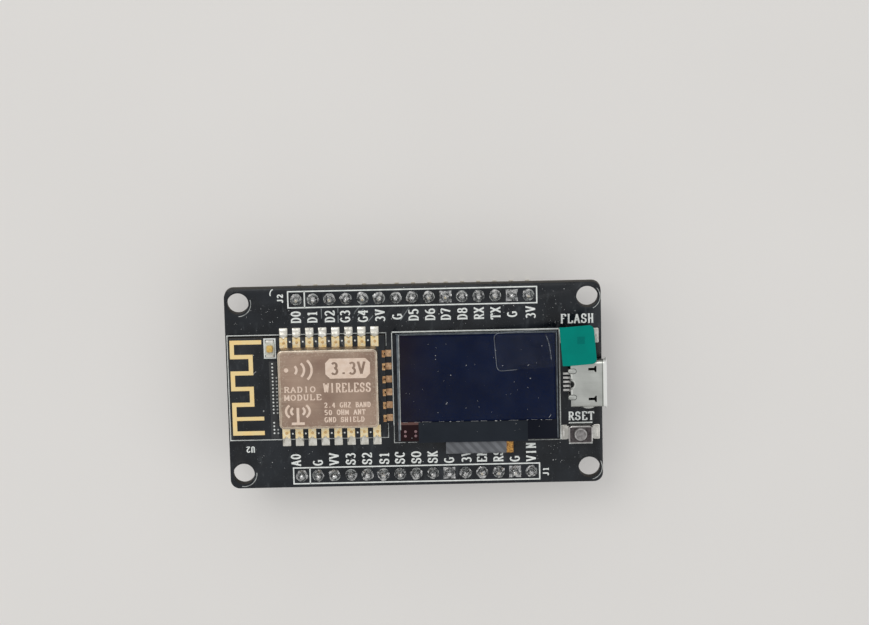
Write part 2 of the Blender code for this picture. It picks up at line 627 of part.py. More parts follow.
def make_dome(name, parent):
    """Thin domed contact spring between the well's floor and the plunger."""
    bottom = CAVITY_FLOOR + GAP
    rise = BUTTON_BODY_TOP - FLANGE_THICKNESS - GAP - bottom - DOME_SHEET
    arc = [(DOME_RADIUS * math.cos(angle), bottom + rise * math.sin(angle))
           for angle in (math.radians(90) * step / CORNER_STEPS for step in range(CORNER_STEPS))]
    outer = [(radius, height + DOME_SHEET) for radius, height in arc]
    crown = DOME_RADIUS * 0.15
    profile = ([(crown, bottom + rise)] + arc[:0:-1] + [(DOME_RADIUS - DOME_SHEET, bottom)]
               + [(DOME_RADIUS, bottom)] + outer + [(crown, bottom + rise + DOME_SHEET)])
    add_object(name, turned(profile), DOME_STEEL, parent, smooth=True)


def make_button(kind, centre):
    button = add_empty(f"{kind}_button", *centre, BOARD_TOP + GAP)
    make_button_base(f"{kind}_button_base", button)
    make_button_cover(f"{kind}_button_cover", button)
    make_plunger(f"{kind}_button_plunger", button)
    make_dome(f"{kind}_button_dome", button)


def underside_empty(name, centre):
    """Empty on the board's lower face, turned so that its pieces hang below it."""
    empty = add_empty(name, *centre, BOARD_BOTTOM - GAP)
    empty.matrix_world = Matrix.Translation(empty.location) @ Matrix.Rotation(math.pi, 4, "X")
    return empty


def make_underside_components():
    for name, centre, body, reach, lead_rows in UNDERSIDE_CHIPS:
        empty = underside_empty(f"{name}_place", centre)
        make_leaded_chip(name, empty, (0.0, 0.0, 0.0), body, reach, lead_rows)


def main():
    clear_scene()
    make_main_board()
    make_header("back", ROW_SPACING / 2, BACK_SIGNALS)
    make_header("front", -ROW_SPACING / 2, FRONT_SIGNALS)
    make_radio_module()
    make_display()
    make_pull_tab()
    make_usb_socket()
    make_button("flash", FLASH_BUTTON_CENTRE)
    make_button("reset", RESET_BUTTON_CENTRE)
    make_underside_components()


main()
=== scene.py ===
"""Looks of a microcontroller board with a radio module, a small display, a USB socket and two buttons.

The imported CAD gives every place. Shapes are worked out in millimetres and scaled to metres when made.
"""
import math
import random

import bmesh
import bpy
from mathutils import Matrix, Vector, noise


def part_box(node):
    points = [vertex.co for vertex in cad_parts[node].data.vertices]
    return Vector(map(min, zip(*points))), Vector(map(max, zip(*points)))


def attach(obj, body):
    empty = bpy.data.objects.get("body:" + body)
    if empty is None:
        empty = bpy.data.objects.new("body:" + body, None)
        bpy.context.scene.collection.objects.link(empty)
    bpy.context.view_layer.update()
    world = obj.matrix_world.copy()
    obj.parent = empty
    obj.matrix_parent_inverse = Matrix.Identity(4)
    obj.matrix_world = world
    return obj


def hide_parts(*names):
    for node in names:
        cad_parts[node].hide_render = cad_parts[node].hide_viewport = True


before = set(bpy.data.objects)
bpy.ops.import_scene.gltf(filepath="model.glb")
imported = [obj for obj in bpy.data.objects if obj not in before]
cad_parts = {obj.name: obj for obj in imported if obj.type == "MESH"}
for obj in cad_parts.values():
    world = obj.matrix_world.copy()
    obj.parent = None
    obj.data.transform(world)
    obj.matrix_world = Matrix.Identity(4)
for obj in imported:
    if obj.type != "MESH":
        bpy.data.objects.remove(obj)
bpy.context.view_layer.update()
MM = 0.001


class Span:
    """A CAD node's box at rest, in millimetres."""

    def __init__(self, node):
        low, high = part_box(node)
        self.x0, self.y0, self.z0 = (value / MM for value in low)
        self.x1, self.y1, self.z1 = (value / MM for value in high)
        self.cx = (self.x0 + self.x1) / 2
        self.cy = (self.y0 + self.y1) / 2
        self.width = self.x1 - self.x0
        self.depth = self.y1 - self.y0


LAND_HEIGHT = 0.04
BOARD = Span("main_board")
TOP = BOARD.z1 - LAND_HEIGHT
UNDER = BOARD.z0 + LAND_HEIGHT
RADIO = Span("radio_board")
CAN = Span("radio_shield_can")
LED = Span("radio_led")
GLASS = Span("oled_front_glass")
POLARIZER = Span("oled_polarizer")
FLEX = Span("oled_flex_cable")
FILM = Span("screen_film")
TAB = Span("film_pull_tab")
USB = Span("usb_shell")
BUTTONS = {"flash": Span("flash_button_cover"), "reset": Span("reset_button_cover")}
UNDERSIDE_CHIPS = {name: Span(name)
                   for name in ("usb_serial_chip", "voltage_regulator", "auto_reset_transistor")}
PIN_ROWS = {side: sorted(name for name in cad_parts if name.startswith(f"pin_{side}_"))
            for side in ("back", "front")}
PINS = {name: Span(name) for names in PIN_ROWS.values() for name in names}
HEADERS = {side: Span(f"header_base_{side}") for side in PIN_ROWS}

# Heights above the mask of what is printed or plated on it, and half the pin pitch.
TRACK_HEIGHT = 0.01
INK_HEIGHT = 0.026
PLATING_HEIGHT = 0.03
PAD_HEIGHT = 0.035
HALF_PITCH = 1.27
PIN_PAD_RADIUS = 0.9
SQUARE_PADS = (9, 13)
CONTACTS = 5
CONTACT_PITCH = 0.65

# The camera stands over the board's front, a little behind its middle, relative to the board's top face.
CAMERA_PLACE = (9.6, 118.0, 479.3)
CAMERA_AHEAD = (-0.0127, -0.2169, -0.9761)
CAMERA_UP = (0.0214, 0.9759, -0.2171)
CAMERA_LENS = 132.8


# ---------------------------------------------------------------- materials

class Look:
    """A Principled material, with short calls for the nodes that feed it. Lengths are in millimetres."""

    def __init__(self, name, base, rough, fixed=None):
        self.material = bpy.data.materials.new(name)
        self.material.use_nodes = True
        self.tree = self.material.node_tree
        self.shader = self.tree.nodes["Principled BSDF"]
        where = self.tree.nodes.new("ShaderNodeTexCoord")
        self.place = self.add("VectorMath", {0: where.outputs["Object"], "Scale": 1 / MM}, operation="SCALE")
        self.base = base
        self.rough = rough
        self.feed(self.shader.inputs["Base Color"], base)
        self.feed(self.shader.inputs["Roughness"], rough)
        for socket, value in (fixed or {}).items():
            self.feed(self.shader.inputs[socket], value)

    def feed(self, socket, value):
        """Links an output or sets a value; colours are given as display values from 0 to 255."""
        if isinstance(value, bpy.types.NodeSocket):
            self.tree.links.new(value, socket)
        elif socket.type == "RGBA":
            socket.default_value = [(part / 255) ** 2.2 for part in value] + [1.0]
        else:
            socket.default_value = value

    def add(self, kind, feeds, out=0, **settings):
        node = self.tree.nodes.new("ShaderNode" + kind)
        for key, value in settings.items():
            setattr(node, key, value)
        for key, value in feeds.items():
            self.feed(node.inputs[key], value)
        return node.outputs[out]

    def noise(self, size, detail=3.0, stretch=(1, 1, 1)):
        place = self.add("VectorMath", {0: self.place, 1: stretch}, operation="MULTIPLY")
        return self.add("TexNoise", {"Vector": place, "Scale": 1 / size, "Detail": detail})

    def calc(self, operation, first, second=0.0):
        return self.add("Math", {0: first, 1: second}, operation=operation)

    def spread(self, value, low, high, to_low=0.0, to_high=1.0):
        return self.add("MapRange", {0: value, 1: low, 2: high, 3: to_low, 4: to_high})

    def cloud(self, kind, low, high, to_low=0.0, to_high=1.0):
        """Soft patches of noise of the given size, detail and stretch."""
        return self.spread(self.noise(*kind), low, high, to_low, to_high)

    def blend(self, share, first, second):
        return self.add("Mix", {0: share, 6: first, 7: second}, out=2, data_type="RGBA")

    def along(self, axis):
        return self.add("SeparateXYZ", {0: self.place}, out="XYZ".index(axis))

    def within(self, axis, low, high, soft=0.02):
        """1 between low and high on an axis, and 0 outside."""
        value = self.along(axis)
        rise = self.spread(value, low - soft, low + soft)
        fall = self.spread(value, high - soft, high + soft, 1.0, 0.0)
        return self.calc("MULTIPLY", rise, fall)

    def window(self, soft, **limits):
        """1 inside the limits on both of two axes, and 0 outside."""
        return self.calc("MULTIPLY", *(self.within(axis, *pair, soft) for axis, pair in limits.items()))

    def upright(self):
        """1 on walls and 0 on faces that look up or down."""
        normal = self.tree.nodes.new("ShaderNodeNewGeometry").outputs["Normal"]
        height = self.calc("ABSOLUTE", self.add("SeparateXYZ", {0: normal}, out=2))
        return self.spread(height, 0.45, 0.6, 1.0, 0.0)

    def paint(self, share, colour, amount=1.0):
        if amount != 1.0:
            share = self.calc("MULTIPLY", share, amount)
        self.base = self.blend(share, self.base, colour)
        self.feed(self.shader.inputs["Base Color"], self.base)

    def polish(self, share, rough):
        """Moves the roughness towards rough where share is 1."""
        change = self.calc("MULTIPLY", share, self.calc("SUBTRACT", rough, self.rough))
        self.rough = self.calc("ADD", self.rough, change)
        self.feed(self.shader.inputs["Roughness"], self.rough)

    def relief(self, height, depth):
        bump = self.add("Bump", {"Strength": 1.0, "Distance": depth * MM, "Height": height})
        self.feed(self.shader.inputs["Normal"], bump)


def surface(name, first, second, rough, patch=2.5, grain=0.12, depth=0.004, swing=0.08,
            stretch=(1, 1, 1), **fixed):
    """Two close tones in soft patches, with fine grain in the gloss and the surface."""
    look = Look(name, first, rough, {key.replace("_", " "): value for key, value in fixed.items()})
    patches = look.cloud((patch, 4.0, stretch), 0.35, 0.65)
    fine = look.noise(grain, 2.0, stretch)
    look.paint(patches, second)
    uneven = look.calc("ADD", look.calc("MULTIPLY", patches, 0.6), look.calc("MULTIPLY", fine, 0.4))
    look.rough = look.spread(uneven, 0.2, 0.8, rough - swing, rough + swing)
    look.feed(look.shader.inputs["Roughness"], look.rough)
    look.relief(fine, depth)
    return look


def mask_look():
    """Black solder mask, with the laminate's brown glass layers on the cut edges."""
    look = surface("solder_mask", (19, 23, 28), (31, 36, 42), 0.3, patch=5, grain=0.3, depth=0.0025,
                   Specular_IOR_Level=0.42)
    specks, scuffs = look.cloud((0.16, 1.0), 0.72, 0.8), look.cloud((0.9, 5.0, (1, 0.35, 1)), 0.6, 0.72)
    look.paint(specks, (132, 136, 138), 0.45)
    look.paint(scuffs, (78, 84, 88), 0.3)
    wall = look.upright()
    layers = look.cloud((0.32, 2.0, (0.25, 0.25, 5)), 0.38, 0.62)
    look.paint(wall, look.blend(layers, (38, 35, 31), (52, 47, 40)))
    look.polish(wall, 0.7)
    return look


def can_look():
    """Drawn nickel-silver sheet: faint rolling lines and warm stains towards the middle, with painted light:
    a highlight along the rounded top edge, a dark reflection band high on the walls and a reflection of the
    board on the walls below it.
    """
    look = surface("shield_can_sheet", (170, 146, 130), (184, 160, 143), 0.4, patch=5, grain=0.08,
                   depth=0.002, swing=0.1, Metallic=0.92)
    rolling, stains = look.cloud((0.25, 4.0, (0.04, 1, 1)), 0.35, 0.65), look.cloud((3.2, 5.0), 0.48, 0.7)
    look.paint(rolling, (150, 128, 112), 0.22)
    look.paint(stains, (156, 128, 114), 0.55)
    # painted highlight: the rounded top edge is painted pale cream in patches and made glossier
    rim = look.calc("MULTIPLY", look.within("Z", CAN.z1 - 0.25, CAN.z1 - 0.038, 0.005),
                    look.cloud((0.7, 3.0), 0.3, 0.6, 0.5, 1.0))
    look.paint(rim, (236, 226, 208))
    look.polish(rim, 0.42)
    flat = look.window(0.6, X=(CAN.x0 + 1.1, CAN.x1 - 1.1), Y=(CAN.y0 + 0.9, CAN.y1 - 0.9))
    margin = look.calc("SUBTRACT", 1.0, flat)
    worn = look.calc("MULTIPLY", margin, look.cloud((0.3, 5.0), 0.54, 0.62))
    look.paint(worn, (204, 190, 170), 0.6)
    nicks = look.cloud((0.22, 2.0, (1, 0.4, 1)), 0.7, 0.76)
    look.paint(nicks, (214, 198, 178), 0.45)
    # painted reflection: the walls are painted a mottled brown that stands for the board reflected in them
    wall = look.within("Z", CAN.z0 - 0.1, CAN.z1 - 0.27, 0.02)
    stained = look.cloud((0.4, 3.0), 0.4, 0.7)
    look.paint(wall, look.blend(stained, (142, 127, 114), (172, 156, 140)))
    look.polish(wall, 0.5)
    # painted dark reflection: a dark band along the top of the walls, just under the rounded edge
    look.paint(look.within("Z", CAN.z1 - 0.42, CAN.z1 - 0.27, 0.04), (78, 68, 58))
    return look


def metal_look(name, first, second, rough, metallic=1.0, **details):
    """Bare or plated metal; dull plating mixes in less of the metallic shine."""
    return surface(name, first, second, rough, Metallic=metallic, **details)


def solder_look():
    """Hand-soldered tin: bright, with dull frosted patches."""
    look = metal_look("tin_solder", (238, 239, 239), (160, 162, 164), 0.2, patch=0.4, grain=0.24,
                      depth=0.06, swing=0.12)
    flux = look.cloud((0.28, 3.0), 0.52, 0.64)
    look.paint(flux, (58, 60, 62), 0.75)
    return look


def polarizer_look():
    """Deep blue-black film, browner towards its left edge."""
    look = surface("polarizer_film", (9, 23, 50), (6, 18, 42), 0.12, patch=9, grain=0.4, depth=0.0006,
                   swing=0.03, Specular_IOR_Level=0.1)
    brown = look.spread(look.along("X"), POLARIZER.x0, POLARIZER.x0 + 6.5, 0.9, 0.0)
    cloud = look.calc("MULTIPLY", brown, look.cloud((4, 2.0), 0.3, 0.6, 0.6, 1.0))
    look.paint(cloud, (31, 24, 32))
    return look


def glass_look():
    """Dark backed glass: maroon under the ledge's left end, navy under its right end, grey at the walls."""
    look = surface("backed_glass", (13, 17, 28), (17, 22, 34), 0.14, patch=6, grain=0.5, depth=0.0005,
                   swing=0.04, Specular_IOR_Level=0.16)
    left_end = look.within("X", GLASS.x0 - 1, GLASS.x0 + 3.6, 0.3)
    ledge = look.within("Y", GLASS.y0 - 1, POLARIZER.y0)
    look.paint(look.calc("MULTIPLY", ledge, left_end), (38, 20, 24))
    stripe = look.within("Y", POLARIZER.y0 - 0.5, POLARIZER.y0 - 0.06, 0.05)
    look.paint(look.calc("MULTIPLY", stripe, left_end), (112, 84, 80), 0.8)
    wall = look.upright()
    look.paint(wall, (96, 104, 110))
    return look


def clear_look(name, alpha, colour, rough=0.12):
    """See-through film with faint streaks; alpha is how much of it shows."""
    look = surface(name, colour, colour, rough, patch=3, grain=0.8, depth=0.002, swing=0.05,
                   Specular_IOR_Level=0.14)
    streak = look.cloud((2.6, 3.0), 0.35, 0.75, alpha * 0.7, alpha * 1.4)
    look.feed(look.shader.inputs["Alpha"], streak)
    return look


def teal_look():
    """Teal film, with a painted darker square of shade where the flash plunger lies beneath it."""
    look = surface("teal_film", (0, 132.0, 119.9), (0, 124.1, 113.4), 0.4, patch=3, grain=0.5,
                   depth=0.004, swing=0.06, Specular_IOR_Level=0.06)
    x, y, half = TAB.x1 - 2.35, TAB.cy + 1.2, 0.58
    mark = look.window(0.05, X=(x - half, x + half), Y=(y - half, y + half))
    # painted shade: a darker square over the flash plunger under the film
    look.paint(mark, (0, 107.7, 100.9), 0.8)
    return look


def flex_look():
    """Grey stiffener with slanting tracks underneath, and bare orange film at its right end."""
    look = surface("flex_film", (112, 115, 120), (98, 101, 106), 0.38, patch=1.5, grain=0.1, depth=0.003,
                   Specular_IOR_Level=0.4)
    slant = look.calc("ADD", look.along("X"), look.calc("MULTIPLY", look.along("Y"), 0.9))
    waves = look.calc("SINE", look.calc("MULTIPLY", slant, 2 * math.pi / 1.45))
    look.paint(look.spread(waves, -0.2, 0.5, 0.0, 0.65), (78, 80, 84))
    bare = look.within("X", FLEX_BARE_X, FLEX.x1 + 1)
    tracks = look.cloud((0.28, 2.0, (1, 1.6, 1)), 0.42, 0.58)
    look.paint(bare, look.blend(tracks, (196, 146, 70), (120, 78, 34)))
    inner = look.within("Y", GLASS.y0, GLASS.y1)
    look.paint(inner, (150, 96, 34))
    return look


def usb_look():
    """Plated sheet: painted shade as a dark line where the roof bends and as a dim inside, and a painted
    white highlight on the lip.
    """
    look = metal_look("usb_sheet", (190, 193, 189), (200, 203, 199), 0.44, patch=2.5, grain=0.07,
                      depth=0.0015)
    lines = look.cloud((0.2, 3.0, (0.05, 1, 1)), 0.4, 0.6)
    look.paint(lines, (160, 166, 160), 0.12)
    # painted shade: a dark line where the roof bends
    bend = look.within("X", USB_FLARE_START - 0.16, USB_FLARE_START - 0.02, 0.03)
    look.paint(bend, (112, 118, 110), 0.75)
    # painted highlight: the flared lip is painted near white and made less metallic
    lip = look.within("X", USB_FLARE_START + 0.04, USB.x1 + 0.1, 0.03)
    look.paint(lip, (244, 246, 244))
    look.feed(look.shader.inputs["Metallic"], look.calc("SUBTRACT", 1.0, look.calc("MULTIPLY", lip, 0.45)))
    look.polish(lip, 0.35)
    # painted shade: the inside of the shell is painted dark
    inside = look.window(0.01, Y=(USB.cy - 3.43, USB.cy + 3.43), Z=(TOP + 0.26, TOP + 2.27))
    look.paint(inside, (44, 46, 46))
    return look


def cover_look(name, cover):
    """Folded steel: the flat top painted dull and dark as a painted reflection, and bright edges as a painted
    highlight.
    """
    look = metal_look(name, (206, 204, 202), (176, 174, 172), 0.3, 0.9, patch=0.5, grain=0.07, depth=0.004)
    # painted reflection: the flat top is darkened; the bright edges left round it are a painted highlight
    flat = look.window(0.04, X=(cover.x0 + 0.2, cover.x1 - 0.2), Y=(cover.y0 + 0.2, cover.y1 - 0.42))
    look.paint(flat, look.blend(look.cloud((0.35, 3.0), 0.35, 0.65), (96, 91, 92), (68, 64, 66)))
    look.polish(flat, 0.5)
    return look


def button_base_look():
    """Moulded body, with plated terminals wherever it reaches out past the folded cover."""
    look = surface("button_body", (34, 33, 34), (44, 43, 43), 0.5, grain=0.08)
    middle = look.within("X", BUTTONS["reset"].x0 + 0.1, BUTTONS["reset"].x1 - 0.1, 0.01)
    ends = look.calc("SUBTRACT", 1.0, middle)
    look.paint(ends, look.blend(look.noise(0.5, 3.0), (216, 216, 212), (170, 168, 162)))
    look.feed(look.shader.inputs["Metallic"], look.calc("MULTIPLY", ends, 0.85))
    return look


def leaded_chip_look(name, reach_axis, body):
    """Moulded epoxy, with tinned leads outside the body's own outline."""
    look = surface(name, (38, 38, 40), (46, 46, 48), 0.55, patch=2, grain=0.07, depth=0.006)
    leads = look.calc("SUBTRACT", 1.0, look.within(reach_axis, body[0], body[1], 0.02))
    look.paint(leads, look.blend(look.noise(0.4, 2.0), (210, 208, 200), (170, 168, 160)))
    look.feed(look.shader.inputs["Metallic"], leads)
    look.polish(leads, 0.3)
    return look


FLEX_BARE_X = FLEX.x1 - 3.08
USB_FLARE_START = USB.x1 - 0.55
BOARD_MASK = mask_look()
HEADER_PLASTIC = surface("header_plastic", (27, 27, 28), (36, 36, 37), 0.5, patch=3, grain=0.09,
                         depth=0.006)
PIN_TIN = metal_look("tinned_pin", (214, 208, 190), (186, 176, 150), 0.3, patch=1.5, grain=0.06,
                     depth=0.003, stretch=(1, 1, 0.12))
SOLDER = solder_look()
PAD_TIN = metal_look("tinned_pad", (238, 237, 230), (210, 207, 197), 0.38, 0.6, patch=0.8, grain=0.1,
                     depth=0.012)
FRESH_TIN = metal_look("fresh_tin", (252, 251, 248), (222, 220, 212), 0.34, 0.3, patch=0.45, grain=0.12,
                       depth=0.02)
GOLD = metal_look("immersion_gold", (255, 230, 170), (252, 220, 154), 0.42, 0.5, patch=1.2, grain=0.09,
                  depth=0.004)
PAD_GOLD = metal_look("bright_gold_pad", (255, 246, 216), (255, 222, 152), 0.4, 0.4, patch=0.5, grain=0.12,
                      depth=0.012)
PAD_DIMPLE = metal_look("gold_dimple", (236, 202, 148), (206, 164, 108), 0.4, 0.5, patch=0.3, grain=0.08)
WORN_GOLD = metal_look("worn_gold", (244, 202, 146), (176, 124, 82), 0.4, 0.4, patch=0.45, grain=0.1,
                       depth=0.02)
COPPER = metal_look("stained_copper", (230, 190, 150), (186, 144, 106), 0.42, 0.45, patch=0.5, grain=0.1,
                    depth=0.012)
INK = surface("legend_ink", (236, 240, 238), (214, 220, 218), 0.6, patch=0.6, grain=0.07, depth=0.006)
# faint worn ink, also used for painted highlights and painted shade on other pieces
FAINT_INK_AND_PAINTED_LIGHT = surface("worn_ink_and_painted_light", (192, 196, 194), (138, 142, 142), 0.6, patch=0.5, grain=0.07, depth=0.004)
CAN_SHEET = can_look()
CAN_MARK = surface("etched_mark", (232, 212, 196), (222, 200, 182), 0.6, patch=0.7, grain=0.07,
                   depth=0.004, Metallic=0.25)
BLACK_PLASTIC = surface("moulded_epoxy", (38, 38, 40), (46, 46, 48), 0.55, patch=2, grain=0.07,
                        depth=0.006)
GLASS_LOOK = glass_look()
POLARIZER_LOOK = polarizer_look()
GROUND_EDGE_AND_HIGHLIGHT = surface("ground_glass_edge_and_highlight", (112, 120, 126), (78, 86, 94), 0.5, patch=0.8, grain=0.06,
                      depth=0.006)
# painted highlight: the pale ring on each plunger's rounded rim
PLUNGER_RIM_HIGHLIGHT = surface("plunger_rim_highlight", (184, 183, 182), (132, 130, 130), 0.34, patch=0.5, grain=0.09,
                      depth=0.012)
TAPE = surface("black_tape", (28, 34, 42), (34, 40, 48), 0.5, patch=4, grain=0.16, depth=0.006,
               Specular_IOR_Level=0.2)
CLEAR = clear_look("clear_film", 0.006, (190, 198, 210))
CLEAR_EDGE = clear_look("clear_film_edge", 0.2, (196, 204, 214), 0.3)
TEAL = teal_look()
FLEX_LOOK = flex_look()
USB_STEEL = usb_look()
USB_PLASTIC = surface("usb_insulator", (28, 28, 29), (38, 38, 38), 0.5, grain=0.08)
PLUNGER = surface("button_plunger", (142, 140, 140), (98, 95, 95), 0.36, patch=0.5, grain=0.12,
                  depth=0.03)
BUTTON_BASE = button_base_look()
LED_YELLOW = surface("led_resin", (230, 192, 108), (208, 162, 80), 0.35, patch=0.4, grain=0.06,
                     depth=0.004, Subsurface_Weight=0.1)
LED_WHITE = surface("led_body", (212, 214, 204), (180, 184, 172), 0.5, patch=0.4, grain=0.07, depth=0.01)
CERAMIC_TAN = surface("capacitor_ceramic", (158, 128, 92), (138, 108, 76), 0.5, patch=0.6, grain=0.06,
                      depth=0.006)
RESISTOR_BLACK = surface("resistor_film", (30, 31, 33), (40, 41, 44), 0.4, patch=0.5, grain=0.06)
DUST = surface("dust", (214, 216, 216), (180, 182, 184), 0.9, patch=0.2, grain=0.05, depth=0.01)
FOAM = surface("foam_tape", (220, 220, 214), (204, 204, 198), 0.85, patch=1, grain=0.15, depth=0.03)
DIE = metal_look("silicon_die", (96, 97, 102), (84, 84, 90), 0.25, 0.4, grain=0.06)
CAN_CHIP = metal_look("crystal_lid", (206, 203, 194), (190, 186, 176), 0.34, grain=0.07)
SPRING = metal_look("spring_steel", (208, 208, 204), (190, 190, 186), 0.28, grain=0.06)


# ---------------------------------------------------------------- shapes

def piece(name, shape, look, body="board", crease=38, replaces=()):
    """Turns a shape in millimetres into a named object that rides on a CAD body."""
    bmesh.ops.recalc_face_normals(shape, faces=shape.faces)
    bmesh.ops.scale(shape, vec=(MM, MM, MM), verts=shape.verts)
    mesh = bpy.data.meshes.new(name)
    shape.to_mesh(mesh)
    shape.free()
    for one in look if isinstance(look, (list, tuple)) else [look]:
        mesh.materials.append(one.material)
    mesh.shade_smooth()
    mesh.set_sharp_from_angle(angle=math.radians(crease))
    made = bpy.data.objects.new(name, mesh)
    bpy.context.scene.collection.objects.link(made)
    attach(made, body)
    if replaces:
        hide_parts(*replaces)


def loft(shape, rings, material=0, closed=False):
    """Joins equal rings of points with quads, and caps both ends unless the rings close on themselves."""
    rows = [[shape.verts.new(point) for point in ring] for ring in rings]
    count = len(rows[0])
    pairs = list(zip(rows, rows[1:] + rows[:1])) if closed else list(zip(rows, rows[1:]))
    faces = [shape.faces.new((low[i], low[(i + 1) % count], high[(i + 1) % count], high[i]))
             for low, high in pairs for i in range(count)]
    if not closed:
        faces.append(shape.faces.new(rows[0][::-1]))
        faces.append(shape.faces.new(rows[-1]))
    for face in faces:
        face.material_index = material


def lump(shape, place, profile, sections, least=0.02):
    """A rounded body along t from -1 to 1, whose (reach, height) profile swells towards its middle."""
    rings = []
    for section in range(sections + 1):
        t = 2 * section / sections - 1
        bulk = math.sqrt(max(1 - t * t, least))
        rings.append([place(t, bulk, reach, height) for reach, height in profile])
    loft(shape, rings)


def prism(shape, outline, low, high, material=0):
    loft(shape, [[(x, y, low) for x, y in outline], [(x, y, high) for x, y in outline]], material)


def arc(cx, cy, rx, ry, start, end, steps=10):
    """Points on an ellipse between two angles in degrees, both included."""
    angles = [math.radians(start + (end - start) * step / steps) for step in range(steps + 1)]
    return [(cx + rx * math.cos(angle), cy + ry * math.sin(angle)) for angle in angles]


def circle(cx, cy, radius, steps=24):
    return arc(cx, cy, radius, radius, 0, 360 - 360 / steps, steps - 1)


def rounded(cx, cy, width, depth, radius, steps=5):
    """A rectangle with round corners, counterclockwise from its right side."""
    points = []
    for corner, (sx, sy) in enumerate(((1, 1), (-1, 1), (-1, -1), (1, -1))):
        mx = cx + sx * (width / 2 - radius)
        my = cy + sy * (depth / 2 - radius)
        points += arc(mx, my, radius, radius, 90 * corner, 90 * corner + 90, steps)
    return points


def soft_edge(low, high, edge, steps=3):
    """(Inset, height) levels of a wall that rises from low to high and rounds over at its upper edge."""
    levels = [(0.0, low)]
    for step in range(steps + 1):
        angle = math.radians(90 * step / steps)
        levels.append((edge * (1 - math.cos(angle)), high - edge + edge * math.sin(angle)))
    return levels


def stacked(shape, span, levels, corner, least, steps=5, material=0):
    """Rounded rectangles of (centre x, centre y, width, depth) stacked by (inset, height) levels."""
    cx, cy, width, depth = span
    loft(shape, [[(x, y, z) for x, y in rounded(cx, cy, width - 2 * inset, depth - 2 * inset,
                                                max(corner - inset, least), steps)]
                 for inset, z in levels], material)


def slab(shape, cx, cy, width, depth, low, high, corner=0.12, edge=0.05, material=0):
    """A plate with round corners, whose upper edge is rounded too."""
    stacked(shape, (cx, cy, width, depth), soft_edge(low, high, edge), corner, 0.02, material=material)


def turned(shape, cx, cy, profile, steps=24, wobble=0.0, seed=0, material=0):
    """A lathe shape from (radius, height) pairs; wobble makes it uneven."""
    rings = []
    for radius, z in profile:
        ring = []
        for step in range(steps):
            angle = 2 * math.pi * step / steps
            spot = Vector((math.cos(angle) * 1.3, math.sin(angle) * 1.3, z * 1.7 + seed * 5.1))
            sway = wobble * noise.noise(spot)
            reach = max(radius * (1 + sway), 0.005)
            ring.append((cx + reach * math.cos(angle), cy + reach * math.sin(angle), z + sway * 0.25))
        rings.append(ring)
    loft(shape, rings, material)


def strip(shape, points, width, low, high, closed=False, spot=None, material=0):
    """A flat line of given width with mitred corners; width may depend on the heading."""
    spot = spot or (lambda x, y: (x, y))
    path = [Vector(point) for point in points]
    last = len(path) - 1
    rings = []
    for i, point in enumerate(path):
        arriving = (point - path[i - 1]).normalized() if i or closed else None
        leaving = (path[(i + 1) % len(path)] - point).normalized() if i < last or closed else None
        heading = ((arriving or leaving) + (leaving or arriving)).normalized()
        across = Vector((-heading.y, heading.x))
        stretch = 1.0
        if arriving and leaving:
            stretch = 1 / max(0.5, heading.dot(leaving))
        half = (width(heading) if callable(width) else width) / 2 * stretch
        left = spot(*(point + across * half))
        right = spot(*(point - across * half))
        rings.append([(*right, high), (*left, high), (*left, low), (*right, low)])
    loft(shape, rings, material, closed)


def frame_line(shape, x0, y0, x1, y1, width, low, high):
    """A rectangle drawn as a line."""
    strip(shape, [(x0, y0), (x1, y0), (x1, y1), (x0, y1)], width, low, high, closed=True)


def refined(node, look, edge=0.05, crease=30):
    """The CAD node's own shape with its flats merged and its sharp edges rounded."""
    shape = bmesh.new()
    shape.from_mesh(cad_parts[node].data)
    bmesh.ops.scale(shape, vec=(1 / MM, 1 / MM, 1 / MM), verts=shape.verts)
    bmesh.ops.remove_doubles(shape, verts=shape.verts, dist=0.002)
    bmesh.ops.dissolve_limit(shape, angle_limit=math.radians(1), verts=shape.verts, edges=shape.edges)
    sharp = [e for e in shape.edges if len(e.link_faces) == 2 and e.calc_face_angle(0) > math.radians(crease)]
    bmesh.ops.bevel(shape, geom=sharp, offset=edge, segments=2, profile=0.5, affect="EDGES",
                    clamp_overlap=True)
    for face in shape.faces:
        face.material_index = 0
    piece(node + "_surface", shape, look, replaces=[node])


# ---------------------------------------------------------------- lettering

def post(x, low=0.0, high=1.0):
    return [(x, low), (x, high)]


def bar(y, left=0.1, right=0.9):
    return [(left, y), (right, y)]


def serifs(*ends):
    """Short level lines across the ends of stems."""
    return [bar(y, x - 0.17, x + 0.17) for x, y in ends]


